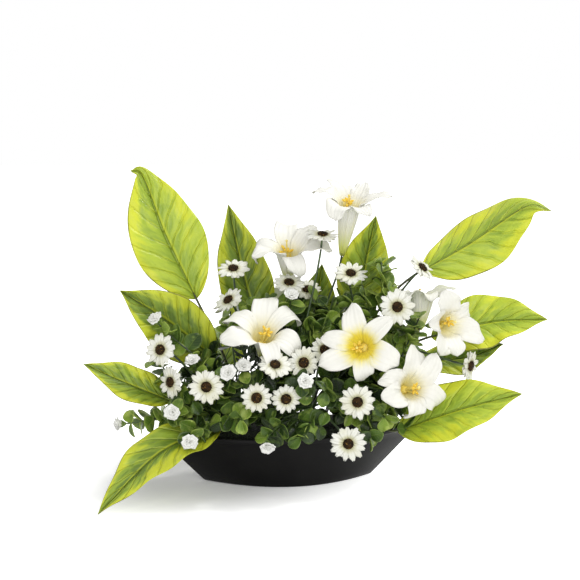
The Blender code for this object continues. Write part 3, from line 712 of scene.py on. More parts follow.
LILY_OUTSIDE = petal_cloth(
    "lily_petal_outside", (0.92, 0.91, 0.84), (0.92, 0.91, 0.66), 0.18, 0.36, 5,
    deep=((0.78, 0.83, 0.12), 0.02, 0.24))
STAMEN = plain_colour("lily_stamen", (0.85, 0.66, 0.12), (0.92, 0.8, 0.3), 200)
ANTHER = plain_colour("lily_anther", (0.85, 0.52, 0.035), (0.93, 0.7, 0.1), 500, 0.8)
DAISY_PETAL = petal_cloth("daisy_petal_cloth", (0.9, 0.9, 0.82), (0.64, 0.62, 0.36), 0.05, 0.5, 2, tint=0.4)
DAISY_DISC = daisy_disc()
CALYX = plain_colour("calyx_green", (0.06, 0.11, 0.02), (0.16, 0.24, 0.05), 300)
BUD_PETAL = petal_cloth("bud_petal_cloth", (0.94, 0.94, 0.9), (0.88, 0.9, 0.7), 0.0, 0.25, 2)
# Small leaves get these greens by their depth in the arrangement: the darker ones partly paint the shade deep
# inside, the lightest partly a fresher green at the tips.
SHADED_DEEP_LEAF = box_leaf_plastic("deep", (0.007, 0.017, 0.004), (0.025, 0.052, 0.009), (0.09, 0.15, 0.025))
HALF_SHADED_LEAF = box_leaf_plastic("mid", (0.022, 0.052, 0.008), (0.09, 0.165, 0.022), (0.28, 0.39, 0.07))
LIT_FRESH_LEAF = box_leaf_plastic("lit_fresh", (0.09, 0.165, 0.018), (0.26, 0.39, 0.05), (0.55, 0.64, 0.16))
FERN_DARK = plain_colour("fern_dark", (0.008, 0.014, 0.007), (0.03, 0.05, 0.02), 200, 0.55)
BOWL = bowl_plastic()
FOAM = foam_surface()


# --- bowl ---
LENS_STEPS = 48  # along each of the two long sides
WALL_RINGS, LIP_CREASE = 8, 0.2  # rings up the outside, and the last one's distance from the lip
LENGTHWISE = 2.2  # growth in length for each mm of growth in width
# (height, growth in width) at the foot, at the step under the lip, round the rim and inside
FOOT_EDGE = [(0.0, -4.0), (0.15, -1.8), (0.6, -0.7), (1.4, -0.1)]
STEP_EDGE = [(0.3, 0.5), (0.9, 1.9), (1.3, 2.5), (1.8, 2.7)]  # above the lip's underside
# above the top
RIM_EDGE = [(-1.2, 2.8), (-0.5, 2.6), (-0.1, 1.8), (0, 0.8), (0, -2.6), (-0.3, -4.2), (-1, -5.0)]
INSIDE = [(30.0, -5.0), (WALL + 1, -5.0), (WALL, -6.0)]


def lens(length, width, z):
    """A boat-shaped outline with slightly rounded points."""
    half = length / 2
    xs = [half * math.cos(math.pi * k / LENS_STEPS) for k in range(LENS_STEPS + 1)]
    side = [(x, width / 2 * (1 - (x / half) ** 2)) for x in xs]
    return [(x, y, z) for x, y in side] + [(-x, -y, z) for x, y in side[1:-1]]


def make_bowl():
    """The shell, with rounded edges, inside the outline of the CAD model's lip."""
    low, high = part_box("bowl")
    lip_length, lip_width = (high.x - low.x) / MM, (high.y - low.y) / MM
    lip_base = BOWL_HEIGHT - LIP_HEIGHT
    foot = FOOT_EDGE[-1][0]
    rise = (lip_base - LIP_CREASE - foot) / WALL_RINGS
    profile = FOOT_EDGE + [(foot + rise * k, 0.0) for k in range(1, WALL_RINGS + 1)]
    profile += [(lip_base + z, grow) for z, grow in STEP_EDGE]
    profile += [(BOWL_HEIGHT + z, grow) for z, grow in RIM_EDGE] + INSIDE
    rings = []
    for z, grow in profile:
        share = z / BOWL_HEIGHT
        length = BASE_LENGTH + (BOWL_LENGTH - BASE_LENGTH) * share + LENGTHWISE * grow
        width = BASE_WIDTH + (BOWL_WIDTH - BASE_WIDTH) * share + grow
        rings.append(lens(min(length, lip_length), min(width, lip_width), z))
    skin = Skin(BOWL)
    skin.stack(rings, BOWL)
    declare(skin.make("bowl_shell"), "bowl")


# --- big leaves ---
BLADE_ROWS, BLADE_COLUMNS = 72, 33


def blade_width(t):
    """Half width of a blade, 1 at its widest, with a drawn-out tip."""
    width = np.sin(np.pi * t**0.8) ** 0.9 * (1 - 0.22 * np.maximum(0.0, (t - 0.72) / 0.28) ** 1.5)
    return np.where((t > 0) & (t < 1), width, 0.0)


def make_leaf(name, entry, midrib, face, half_width, rise):
    shake = random.Random(name)
    face = vector(face)
    rib = smooth_through([Vector(p) for p in midrib], BLADE_ROWS)
    check_place(name, rib[-1], 2)
    top, out = foam_exit(entry)
    reach = (rib[0] - top).length
    start = (rib[8] - rib[0]).normalized()
    stalk = bezier(top, top + out * reach * 0.45, rib[0] - start * reach * 0.3, rib[0], 18)
    # the cloth's lightness is partly painted light and shade
    dye_and_painted_shade = LIGHT_CLOTH if name in LIGHT_LEAVES else DEEP_CLOTH if name in DEEP_LEAVES else MID_CLOTH
    skin = Skin(dye_and_painted_shade, LEAF_STALK)
    path = [top - out * PEG_DEPTH, *stalk, rib[2], rib[4]]
    skin.tube(path, [*taper(path, PETIOLE_RADIUS, 0.25 * PETIOLE_RADIUS)[:-2], 0.9, 0.5], LEAF_STALK)
    waves, phase, tilt = shake.uniform(2.2, 3.4), shake.uniform(0, 6.3), shake.uniform(-0.12, 0.12)
    normals = [(face - along * face.dot(along)).normalized() for along in tangents(rib)]
    sides = [along.cross(normal) for along, normal in zip(tangents(rib), normals)]
    t, u = shares(BLADE_ROWS + 1, BLADE_COLUMNS)
    away = np.abs(u)
    spread = np.maximum(0.35, half_width * blade_width(t))
    vein_phase = (t - VEIN_SWEEP * away**0.8) * VEIN_COUNT
    quilt = 1.2 * (np.cos(2 * np.pi * vein_phase) - 1) * away * (1 - away**3) * np.minimum(1, spread / 15)
    sway = 2.4 * away**2 * np.sin(2 * np.pi * waves * t + phase + far_side(u)) * np.minimum(1, spread / 20)
    gutter = 1.2 * np.exp(-((away * spread / 2.2) ** 2))
    lift = rise * away * spread - quilt + sway - gutter
    aside = u * spread * (1 + tilt * 0.1 * u)
    ribs, sides, normals = (np.array([tuple(p) for p in row])[:, None] for row in (rib, sides, normals))
    skin.sheet(ribs + sides * aside[..., None] + normals * lift[..., None], dye_and_painted_shade)
    declare(skin.make(name + "_cloth"), name)


# --- lilies ---
TUBE_ROWS, FREE_ROWS, PETAL_COLUMNS = 12, 18, 11  # of a petal: up the tube, and then out
TUBE_HALF_ANGLE = math.radians(36)  # half of what a petal spans of the tube, with its lap over the next
FOOT_RADIUS = 2.4
WIDEST_AT = 0.35  # share of the free part
STAMENS, NOD = 6, 3.2  # how far the stamens lean to one side


def petal_curve(length, spread, curl, flare, layer):
    """Columns of (radius, height, lean from the axis, share of the free part): up the tube, out and back."""
    w, s = np.arange(TUBE_ROWS) / TUBE_ROWS, np.linspace(0, 1, FREE_ROWS)
    in_tube = FOOT_RADIUS + (LILY_MOUTH - FOOT_RADIUS) * w**flare + 0.3 * layer * w
    lean = np.radians(28 + 132 * curl * s**1.15)
    step = spread / (FREE_ROWS - 1)
    radius = np.concatenate([in_tube, LILY_MOUTH + 0.3 * layer + walked(step * np.sin(lean))])
    height = np.concatenate([-length * (1 - w), walked(step * np.cos(lean))])
    rows = radius, height, np.concatenate([0.3 * w, lean]), np.concatenate([0 * w, s])
    return [row[:, None] for row in rows]


def petal_half_width(s, widest):
    """Half width of a petal's free part: as at the mouth, then widest a third along, then to a point."""
    foot = LILY_MOUTH * math.sin(TUBE_HALF_ANGLE)
    rise, fall = np.minimum(s / WIDEST_AT, 1), np.maximum((s - WIDEST_AT) / (1 - WIDEST_AT), 0)
    return np.maximum(0.3, (foot + (widest - foot) * rise**2 * (3 - 2 * rise)) * (1 - fall**2.5) ** 0.66)


def add_lily_petal(skin, number, length, spread, upward, shake):
    """One petal with its own curl, twist and ruffled edge, and a groove along its middle."""
    inner = number % 2 == 0
    curl = shake.uniform(0.45, 1.5) * (1 + 0.1 * upward)
    long = spread * shake.uniform(1.12, 1.5) * (1 + 0.2 * upward)
    radius, height, lean, s = petal_curve(length, long, curl, 3.0 - 2.4 * upward, 1 if inner else -1)
    widest = shake.uniform(13.4, 15.4) if inner else shake.uniform(10.6, 12.6)
    swing, twist = shake.uniform(-13, 13), shake.uniform(-1.1, 1.1) * (1 - 0.7 * upward)
    wave, phase = shake.uniform(0.8, 1.5), shake.uniform(0, 6.3)
    hollow, fold = shake.uniform(2.0, 5.4), shake.uniform(0.5, 5.0) * (1 - 0.6 * upward)
    u = np.linspace(-1, 1, PETAL_COLUMNS)
    free = np.minimum(1.0, s * 2.2)
    across = u * np.where(s > 0, petal_half_width(s, widest), radius * math.sin(TUBE_HALF_ANGLE))
    bend = np.where(radius > abs(across), np.arcsin(np.clip(across / radius, -1, 1)), 0.0)
    drop = radius * (1 - np.cos(bend)) * (1 - free)
    edge = 1.5 * u * u * np.sin(4 * np.pi * wave * s + phase + far_side(u))
    groove = 0.8 * np.exp(-((u / 0.17) ** 2))
    cup = free * (u * u * (hollow * (1 - s) - fold * s * s) * 1.3 - groove + edge)
    roll = twist * s * s
    lift = cup * np.cos(roll) + across * np.sin(roll)
    sideways = across * np.cos(roll) + swing * s * s
    grid = np.stack([sideways, radius - drop - np.cos(lean) * lift, height + np.sin(lean) * lift], axis=2)
    angle = 2 * math.pi * number / LILY_PETALS + shake.uniform(-0.14, 0.14)
    skin.sheet(spun(grid, angle), skin.materials[0], LILY_OUTSIDE)


def add_stamens(skin, length, shake):
    """Six stamens with hanging anthers, leaning to one side of the tube, round a longer style."""
    aside = shake.uniform(0, 2 * math.pi)
    nod = Vector((math.cos(aside), math.sin(aside), 0)) * NOD
    for k in range(STAMENS + 1):
        angle = 2 * math.pi * k / STAMENS + 0.5
        style = k == STAMENS
        apart = 0.0 if style else shake.uniform(2.2, 5.6)
        out = Vector((-math.sin(angle), math.cos(angle), 0))
        bottom = Vector((0, 0, -length * 0.7))
        tip = nod + out * apart + UP * (shake.uniform(2, 10) + (6 if style else 0))
        path = bezier(bottom, bottom + UP * length * 0.4, tip - UP * length * 0.25, tip, 8)
        skin.tube(path, taper(path, 0.8), STAMEN, sides=6)
        if style:
            skin.blob(tip, UP, 2.6, 1.7, STAMEN)
        else:
            hang = (out + UP * 0.4).normalized()
            skin.blob(tip - hang * 3.6, hang, 7.4, 1.65, ANTHER)


def make_lily(name, throat, axis, length, reach, turn):
    shake = random.Random(name)
    check_place(name, Vector(throat) - vector(axis) * length * 0.5, 1)
    inside = LILY_INSIDE_YELLOW if name in YELLOW_LILIES else LILY_INSIDE
    skin = Skin(inside, LILY_OUTSIDE, STAMEN, ANTHER, CALYX)
    upward = max(0.0, vector(axis).z)
    for k in range(LILY_PETALS):
        add_lily_petal(skin, k, length, reach - LILY_MOUTH, upward, shake)
    foot = Vector((0, 0, -length))
    skin.tube([foot, foot + UP * 1.5, foot + UP * 5], [2.6, 2.9, 3.6], CALYX, sides=14)
    skin.blob(foot + UP * (0.38 * length), UP, 0.34 * length, 5.2, STAMEN, rings=8, sides=14)
    add_stamens(skin, length, shake)
    declare(skin.make(name + "_bloom", Vector(throat), rotation_to(vector(axis), turn)), name)


# --- daisies ---
DISC_EDGE, FLORETS, FLORET_REACH = 4.4, 70, 5.8
DOME_RADIUS, DOME_BASE, DOME_HEIGHT = 6.3, 1.0, 2.3  # the surface on which the florets stand
GOLDEN_ANGLE = math.pi * (3 - math.sqrt(5))


def add_daisy_petal(skin, k, diameter, shake):
    """One petal of the first turn, or of the second and shorter turn, which lies in the gaps below."""
    short = k >= DAISY_PETALS
    angle = 2 * math.pi * (k + 0.5 * short) / DAISY_PETALS + shake.uniform(-0.07, 0.07)
    length = diameter / 2 * shake.uniform(0.9, 1.0) * (0.86 if short else 1.0)
    droop, roll = shake.uniform(-2.2, 1.6), shake.uniform(-0.3, 0.3)
    half_width = shake.uniform(2.8, 3.5) * diameter / 39 * (0.8 if short else 1.0)
    layer = -1.5 if short else 0.35 if k % 2 else -0.25
    v, u = shares(*SMALL_GRID)
    out = DISC_EDGE + (length - DISC_EDGE) * v
    half = half_width * (0.5 + 0.5 * np.sin(np.pi * np.minimum(0.6, 0.1 + v * 0.62)))
    half *= 1 - 0.42 * np.maximum(0.0, (v - 0.72) / 0.28) ** 2
    fold = np.cos(2 * np.pi * u)
    notch = 0.7 * fold * np.maximum(0.0, v - 0.8) / 0.2 + 1.1 * u * u * (v > 0.8)
    rise = 0.9 * np.sin(np.pi * v * 0.8) + droop * v * v - 0.35 * fold + roll * u * half + layer
    skin.sheet(spun(np.stack([u * half, out - notch, rise], axis=2), angle), DAISY_PETAL, thickness=0.4)


def make_daisy(name, middle, axis, diameter):
    shake = random.Random(name)
    check_place(name, Vector(middle), 1)
    skin = Skin(DAISY_PETAL, DAISY_DISC, CALYX)
    for k in range(2 * DAISY_PETALS):
        add_daisy_petal(skin, k, diameter, shake)
    calyx = [Vector((0, 0, z)) for z in (-CALYX_DEPTH, -4.2, -2.4, -0.9, -0.5)]
    skin.tube(calyx, [2.0, 2.4, 4.4, 5.6, 5.0], CALYX, sides=14)
    skin.blob(Vector((0, 0, -1.4)), UP, 5.5, 5.9, DAISY_DISC, rings=8, sides=16)
    for k in range(FLORETS):
        r, a = FLORET_REACH * math.sqrt((k + 0.5) / FLORETS), GOLDEN_ANGLE * k
        x, y = math.cos(a) * r, math.sin(a) * r
        foot = Vector((x, y, DOME_BASE + DOME_HEIGHT * math.sqrt(1 - (r / DOME_RADIUS) ** 2)))
        out = Vector((x * 0.16, y * 0.16, 1)).normalized()
        skin.blob(foot, out, shake.uniform(0.8, 1.3), 0.42, DAISY_DISC, rings=3, sides=5)
    declare(skin.make(name + "_head", Vector(middle), rotation_to(vector(axis))), name)


# --- stems ---
def add_stalk(skin, entry, fork, onward, radius):
    """The stalk from the foam to the fork."""
    top, out = foam_exit(entry)
    reach = (fork - top).length
    bend = bezier(top, top + out * reach * 0.4, fork - onward * reach * 0.3, fork, 16)
    path = [top - out * PEG_DEPTH, *bend]
    skin.tube(path, taper(path, radius), STEM)
    return path


def make_stem(name, entry, fork, seats):
    top = foam_exit(entry)[0]
    fork = Vector(fork)
    centre = sum((tip for tip, _ in seats), Vector()) / len(seats)
    onward = ((centre - fork).normalized() + (fork - top).normalized()).normalized()
    skin = Skin(STEM)
    add_stalk(skin, entry, fork, onward, STEM_RADIUS)
    skin.blob(fork - onward * 4, onward, 7, STEM_RADIUS * 1.35, STEM)
    for tip, direction in seats:
        far = (tip - fork).length
        end = tip - direction * (SEAT_GAP + STRAIGHT_END)
        path = bezier(fork - onward * 3, fork + onward * far * 0.3, end - direction * far * 0.3, end, 20)
        path.append(tip - direction * SEAT_GAP)
        check_place(name, path[-1], 2)
        radii = taper(path, 1.15 * BRANCH_RADIUS, 0.25 * BRANCH_RADIUS)
        skin.tube(path, radii, STEM, end_direction=direction)
    declare(skin.make(name + "_moulding"), name)


# --- bud sprigs ---
BUD_LAYERS = [  # petals, lean at the foot and at the tip in degrees, length, half width
    (5, 26, 96, 10.4, 5.6),
    (5, 14, 62, 9.8, 4.8),
    (3, 0, 30, 9.2, 3.6),
]
SEPALS = 5
HEART, HEART_REACH = (26, 5, 120), (136, 60, 88)  # middle and half axes of the ellipsoid of dense foliage
HEART_ROOM, OUTER_ROOM = 5.4, 7.2  # least distance between the middles of two small leaves
HEART_WHORL, OUTER_WHORL = (4, 6.5), (3, 8.0)  # leaves in each added whorl, and the way from one to the next
WHORL_TURN, BARE_FOOT = 1.1, 4.0  # turn from one whorl to the next, and what stays bare at a branch's foot
PAIR_START, BUD_PAIR_START = 0.1, 0.5  # leaf spacings from a tip to the CAD's first pair
FILL_START, BUD_FILL_START, STALK_FILL_START = 0.5, 0.9, 0.4  # the same to the first added whorl
LOWEST_FILL = 68.0  # no added leaf has its middle lower than this
FERN_CLEARING = 23.0  # nor this near the upper half of the fern
FERN_GAP_DEPTH = 0.12  # by which distances along Y count less there, so that a gap stays before and behind it
TWIG_LENGTH, TWIG_SPACING, TWIG_TURN = 42.0, 5.6, 2.4  # side shoots, and the turn from one to the next
TWIG_TOP, TWIG_FOOT = 3.0, 6.0  # what they leave free at the branch's two ends
TWIG_ROOT = 2.5  # what isn't tested for room, since it starts in its own branch
SHADE_DEPTH_SCALE = 110.0  # the distance from the arrangement's middle that counts as 1 in the next line
SHADED_WITHIN, HALF_SHADED_WITHIN = 0.95, 1.42  # up to these a leaf is deep green, and then mid green: painted shade, darkest in the arrangement's middle


def in_heart(point):
    return sum(((a - b) / c) ** 2 for a, b, c in zip(point, HEART, HEART_REACH)) < 1


def add_box_leaf(skin, room, root, out, face, size, shake):
    """A small round leaf on a branch, cupped and bent, fresher the further out it is, and darker further in
    as painted shade.
    """
    room.take(root, out, size)
    side = out.cross(face).normalized()
    face = side.cross(out).normalized()
    length, half = BOX_LEAF_LENGTH * size, BOX_LEAF_WIDTH * size / 2
    # the deeper in, the darker: painted shade, besides a fresher green further out
    outer = (root - ARRANGEMENT_MIDDLE).length / SHADE_DEPTH_SCALE + shake.uniform(-0.5, 0.5)
    dye_and_painted_shade = SHADED_DEEP_LEAF if outer < SHADED_WITHIN else HALF_SHADED_LEAF if outer < HALF_SHADED_WITHIN else LIT_FRESH_LEAF
    half *= shake.uniform(0.9, 1.1)
    cup, bend = shake.uniform(0.6, 3.8), shake.uniform(-4.5, 1.5)
    shoulder = shake.uniform(0.85, 1.5)
    v, u = shares(*SMALL_GRID)
    w = half * np.maximum(0.05, np.sin(np.pi * (0.03 + 0.94 * v) ** shoulder) ** 0.72)
    lift = cup * u * u * (w / half) + bend * v * v - 0.5 * np.exp(-((u / 0.2) ** 2))
    skin.sheet(laid(root, out, side, face, length * v, -u * w, lift), dye_and_painted_shade, thickness=0.45)


def add_bud(skin, root, axis, shake):
    """A small double bloom with open ruffled petals in three turns, on green sepals."""
    turn = np.array(rotation_to(axis).to_matrix())
    v, u = shares(*SMALL_GRID)
    for petals, low, high, reach, half in BUD_LAYERS:
        first = shake.uniform(0, 2)
        for k in range(petals):
            angle = first + 2 * math.pi * k / petals + shake.uniform(-0.2, 0.2)
            step = reach * shake.uniform(0.78, 1.1) / (SMALL_GRID[0] - 1)
            lean = np.radians(low + (high + shake.uniform(-13, 13) - low) * v)
            w = half * np.sin(np.pi * (0.1 + 0.72 * v)) ** 0.6
            lift = 0.9 * u * u + 0.75 * np.sin(5.5 * u + 2.3 * k + petals) * v * v
            out = 0.5 + walked(step * np.sin(lean)) - np.cos(lean) * lift
            up = 3.6 + walked(step * np.cos(lean)) + np.sin(lean) * lift - 0.5 * u * u * v
            grid = spun(np.stack([u * w, out, up], axis=2), angle)
            skin.sheet(grid @ turn.T + np.array(root), BUD_PETAL, thickness=0.4)
    for k in range(SEPALS):
        angle = 2 * math.pi * k / SEPALS
        lean = Vector(turn @ np.array([-math.sin(angle), math.cos(angle), 1.1])).normalized()
        skin.blob(root + axis * 0.5, lean, 6.5, 1.5, CALYX, sides=6)
    skin.blob(root - axis * 1.5, axis, 5, 2.6, CALYX, rings=6, sides=10)


class Room:
    """Every CAD solid and every small leaf so far, to ask whether another small leaf fits between them."""

    def __init__(self):
        points, faces = [], []
        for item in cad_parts.values():
            start = len(points)
            points += [v.co / MM for v in item.data.vertices]
            faces += [tuple(start + i for i in p.vertices) for p in item.data.polygons]
        self.solids = BVHTree.FromPolygons(points, faces)
        self.middles = []
        foot, tip = foam_exit(FERN_ENTRY)[0], Vector(FERN_TIP)
        self.fern = [tip.lerp(foot, share / 10) for share in range(6)]

    def take(self, root, out, size):
        self.middles.append(root + out * (BOX_LEAF_LENGTH * size / 2))

    def beside_fern(self, step):
        """Whether this step from the fern ends close by, or in the gap that is left before and behind it."""
        return Vector((step.x, step.y * FERN_GAP_DEPTH, step.z)).length < FERN_CLEARING

    def clear(self, start, way, length):
        """Whether a straight shoot meets no CAD solid."""
        return self.solids.ray_cast(start, way, length)[0] is None

    def fits(self, root, out, face, size):
        """Whether its middle keeps its distance and its outline, off the branch, meets no CAD solid."""
        length, half = BOX_LEAF_LENGTH * size, BOX_LEAF_WIDTH * size / 2
        middle = root + out * (length / 2)
        apart = HEART_ROOM if in_heart(middle) else OUTER_ROOM
        if middle.z < LOWEST_FILL or any(self.beside_fern(middle - point) for point in self.fern):
            return False
        if any((middle - other).length < apart for other in self.middles):
            return False
        side = out.cross(face).normalized()
        outline = [(0.2, 0), (0.3, 0.6), (0.6, 1), (0.9, 0.6), (1.05, 0), (0.9, -0.6), (0.6, -1), (0.3, -0.6)]
        blade = [root + out * (length * v) + side * (half * u) for v, u in outline]
        return not self.solids.overlap(BVHTree.FromPolygons(blade, [tuple(range(len(blade)))]))


def fill_branch(skin, path, first, room, shake):
    """More leaves on a branch, between those of the CAD model and down to the fork."""
    reach = path_length(path)
    back = BOX_LEAF_SPACING * first
    turn = shake.uniform(0, math.pi)
    while back < reach - BARE_FOOT:
        root, along, outside, across = leaf_seat(path, back)
        whorl, spacing = HEART_WHORL if in_heart(root) else OUTER_WHORL
        for k in range(whorl):
            way = Quaternion(along, turn + 2 * math.pi * k / whorl) @ across
            out = (way + along * shake.uniform(0.3, 0.9)).normalized()
            face = Quaternion(out, shake.uniform(-1, 1)) @ (outside + along * 0.7).normalized()
            size = shake.uniform(0.75, 1.2)
            if room.fits(root, out, face, size):
                add_box_leaf(skin, room, root, out, face, size, shake)
        turn += WHORL_TURN
        back += spacing


def add_twigs(skin, stalk, room, shake):
    """Short leafy shoots round a stalk, where no CAD solid is in the way."""
    reach = path_length(stalk)
    back, turn = TWIG_TOP, shake.uniform(0, 2 * math.pi)
    while back < reach - TWIG_FOOT:
        root, along = place_on(stalk, back)
        level = Quaternion(along, turn) @ along.orthogonal().normalized()
        way = (level + UP * shake.uniform(-0.35, 0.6)).normalized()
        length = TWIG_LENGTH * shake.uniform(0.6, 1.15)
        if in_heart(root + way * length) and room.clear(root + way * TWIG_ROOT, way, length):
            tip = root + way * length
            path = bezier(root, root + way * (length * 0.4), tip - (way + UP * 0.3) * (length * 0.3), tip, 8)
            skin.tube(path, taper(path, 0.9, 0.45), STEM, sides=6)
            fill_branch(skin, path, 0.0, room, shake)
        turn += TWIG_TURN
        back += TWIG_SPACING


def add_pairs(skin, path, pairs, start, number, tips, room, shake):
    """The CAD model's leaves along a branch. It left out those with no tip among its points."""
    for pair in range(pairs):
        root, along, outside, across = leaf_seat(path, BOX_LEAF_SPACING * (pair + start))
        roll = math.radians((pair % 3 - 1) * 30)
        size = min(1.35, 0.9 + 0.13 * pair)
        for way in (across, -across):
            out = (way * math.cos(roll) + outside * math.sin(roll) + along * 0.5).normalized()
            turn = math.radians((number * 3 % 5 - 2) * LEAF_TWIST)
            face = Quaternion(out, turn) @ (outside + along * 0.5).normalized()
            leaf_tip = np.array(root + out * BOX_LEAF_LENGTH * size)
            if np.linalg.norm(tips - leaf_tip, axis=1).min() < 0.5:
                number += 1
                add_box_leaf(skin, room, root, out, face, size, shake)
    return number


def make_sprig(name, entry, fork, buds, branches, room):
    shake = random.Random(name)
    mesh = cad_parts[name].data
    tips = np.empty(len(mesh.vertices) * 3)
    mesh.vertices.foreach_get("co", tips)
    tips = tips.reshape(-1, 3) / MM
    fork = Vector(fork)
    ahead = (fork - foam_exit(entry)[0]).normalized()
    skin = Skin(STEM, BUD_PETAL, CALYX, SHADED_DEEP_LEAF, HALF_SHADED_LEAF, LIT_FRESH_LEAF)
    stalk = add_stalk(skin, entry, fork, ahead, BRANCH_RADIUS * 1.1)
    paths = [(stalk[1:], STALK_FILL_START)]
    number = 1
    for branch, (tip, direction, pairs) in enumerate(branches):
        tip, direction, has_bud = Vector(tip), vector(direction), branch < buds
        check_place(name, tip, 2)
        far = (tip - fork).length
        ends = (fork - ahead * 3, fork + ahead * far * 0.2, tip - direction * far * 0.3, tip)
        fine = bezier(*ends, 24)
        skin.tube(fine, taper(fine, 1.05 * BRANCH_RADIUS, 0.4 * BRANCH_RADIUS), STEM, sides=8)
        number += 1
        if has_bud:
            add_bud(skin, tip, direction, shake)
            number += 1
        paths.append((fine, BUD_FILL_START if has_bud else FILL_START))
        start = BUD_PAIR_START if has_bud else PAIR_START
        number = add_pairs(skin, bezier(*ends, 6), pairs, start, number, tips, room, shake)
    for path, first in paths:
        fill_branch(skin, path, first, room, shake)
    for path, _ in paths:
        add_twigs(skin, path, room, shake)
    declare(skin.make(name + "_greenery"), name)


# --- fern ---
def add_finger(skin, root, out, face, length, width):
    """A blunt finger of the fern, turned up at its edges."""
    side = out.cross(face).normalized()
    v, u = shares(9, 5)
    w = width / 2 * np.sin(np.pi * (0.12 + 0.84 * v) ** 0.8) ** 0.6
    grid = laid(root, out, side, face, length * v, -u * w, u * u - 1.6 * v * v)
    skin.sheet(grid, FERN_DARK, thickness=0.7)


def make_fern():
    top, out = foam_exit(FERN_ENTRY)
    tip = Vector(FERN_TIP)
    check_place("fern_sprig", tip, 2)
    reach = (tip - top).length
    ends = (top, top + out * reach * 0.45, tip - vector(FERN_TIP_DIRECTION) * reach * 0.3, tip)
    coarse, fine = ([top - out * PEG_DEPTH, *bezier(*ends, steps)] for steps in (10, 30))
    skin = Skin(FERN_DARK)
    skin.tube(fine, taper(fine, BRANCH_RADIUS, 0.45 * BRANCH_RADIUS), FERN_DARK, sides=8)
    nodes = list(zip(coarse, tangents(coarse)))
    for pair in range(FINGER_PAIRS):
        root, along = nodes[-2 - pair]
        across = rotation_to(along, FINGER_TURN * pair) @ Vector((1, 0, 0))
        face = across.cross(along)
        length = FINGER_LENGTH + pair
        for way in (across, -across):
            outward = (way + along * 0.8).normalized()
            add_finger(skin, root, outward, face, length, 3.8)
            for share, lean in ((0.35, -0.6), (0.6, 0.7)):
                branch = (outward + along * lean).normalized()
                add_finger(skin, root + outward * (length * share), branch, face, length * 0.6, 3.2)
    root, along = nodes[-1]
    add_finger(skin, root, along, -UP.cross(along).cross(along), FINGER_LENGTH * 0.8, 3.6)
    declare(skin.make("fern_sprig_needles"), "fern_sprig")


# --- camera, lights and floor, in metres ---
CAMERA_AZIMUTH, CAMERA_ELEVATION = -8.5, 8.0
CAMERA_DISTANCE, CAMERA_LENS, SENSOR = 1.8, 97.15, 36.0
CAMERA_AIM = (0.0023, 0.215)  # across and up from the origin, square to the view
LIGHT_AIM = Vector((0, 0, 0.15))
FLOOR_HALF, FLOOR_DROP = 6, 0.0005
SHADOW_MIDDLE = (-0.1, 0.0, 0.0)
SHADOW_FADE = (0.05, 0.27)  # between these distances from there the floor fades into the backdrop
FLOOR_GLOW = 0.1  # what the camera sees on the floor beyond the light that falls on it
WORLD_LIGHT = 0.57


def add_facing(name, data, where, back):
    """A camera or lamp at a point, with its back this way."""
    made = add_object(name, data)
    made.location = where
    made.rotation_mode = "QUATERNION"
    made.rotation_quaternion = back.to_track_quat("Z", "Y")
    return made


def make_camera():
    a, e = math.radians(CAMERA_AZIMUTH), math.radians(CAMERA_ELEVATION)
    right = Vector((math.cos(a), math.sin(a), 0))
    back = Vector((math.sin(a) * math.cos(e), -math.cos(a) * math.cos(e), math.sin(e)))
    where = right * CAMERA_AIM[0] + back.cross(right) * CAMERA_AIM[1] + back * CAMERA_DISTANCE
    data = bpy.data.cameras.new("camera")
    data.lens, data.sensor_width = CAMERA_LENS, SENSOR
    data.clip_start, data.clip_end = 0.05, 30
    bpy.context.scene.camera = add_facing("camera", data, where, back)


def make_light(name, where, size, watts):
    data = bpy.data.lights.new(name, "AREA")
    data.shape, data.size, data.energy = "DISK", size, watts
    add_facing(name, data, where, Vector(where) - LIGHT_AIM)


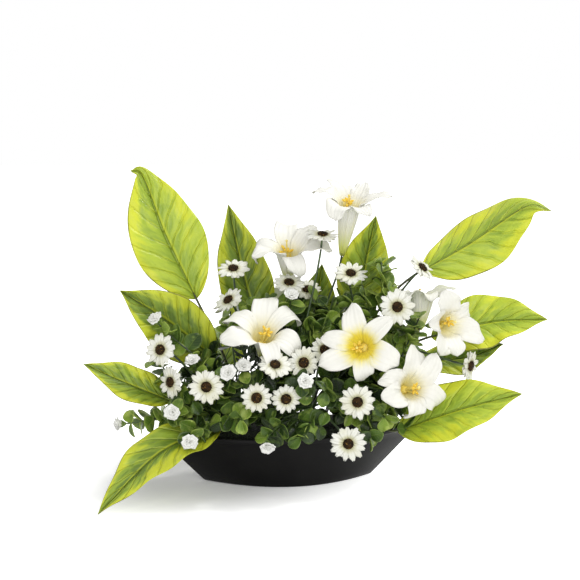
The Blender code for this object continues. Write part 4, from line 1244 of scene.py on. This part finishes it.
def make_floor():
    """A white floor that fades into the backdrop by a painted glow, so that only the shadow near
    SHADOW_MIDDLE shows on it.
    """
    corners = [(FLOOR_HALF * x, FLOOR_HALF * y, -FLOOR_DROP) for x, y in ((-1, -1), (1, -1), (1, 1), (-1, 1))]
    mesh = bpy.data.meshes.new("floor")
    mesh.from_pydata(corners, [], [(0, 1, 2, 3)])
    g = Surface("floor_white", 0.9, (0.9, 0.9, 0.9), Specular_IOR_Level=0.0)
    # painted light: a glow for seeing rays that grows with the distance from SHADOW_MIDDLE and whitens the
    # floor and its real shadow outward from there, so it shapes the shadow
    away = g.node("VectorMath", {0: g.place(), 1: SHADOW_MIDDLE}, "Value", operation="DISTANCE")
    level = g.smooth(away, *SHADOW_FADE) + FLOOR_GLOW
    glow = g.emission("Emission", g.seen() * level)
    g.finish(g.node("AddShader", {0: Wire(g, g.shader.outputs[0]), 1: glow}), "Material Output")
    mesh.materials.append(g.material)
    add_object("floor", mesh)


def make_world():
    """Soft white light from all round, and a white backdrop for what the camera or a mirror sees."""
    world = bpy.data.worlds.new("studio")
    bpy.context.scene.world = world
    world.use_nodes = True
    g = Graph(world.node_tree)
    soft, backdrop = g.emission("Background", WORLD_LIGHT), g.emission("Background", 1.0)
    g.finish(g.node("MixShader", {0: g.seen(), 1: soft, 2: backdrop}), "World Output")


make_camera()
make_floor()
make_world()
make_light("key", (1.1, 0.3, 1.85), 0.36, 17)
make_light("front_fill", (-0.1, -2.3, 1.15), 1.5, 25)
bpy.context.scene.view_settings.view_transform = "Standard"

make_bowl()
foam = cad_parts["floral_foam"]
foam.data.materials.clear()
foam.data.materials.append(FOAM)
for name, plan in LEAVES.items():
    make_leaf(name, *plan)
for name, plan in LILIES.items():
    make_lily(name, *plan)
for number, plan in enumerate(DAISIES, 1):
    make_daisy(f"daisy_{number:02}", *plan)
for name, (entry, fork, heads) in LILY_STEMS.items():
    make_stem(name, entry, fork, [seat(*LILIES[head][:3]) for head in heads])
for name, (entry, fork, heads) in DAISY_STEMS.items():
    make_stem(name, entry, fork, [seat(*DAISIES[number - 1][:2], CALYX_DEPTH) for number in heads])
room = Room()
for name, plan in BUD_SPRIGS.items():
    make_sprig(name, *plan, room)
make_fern()
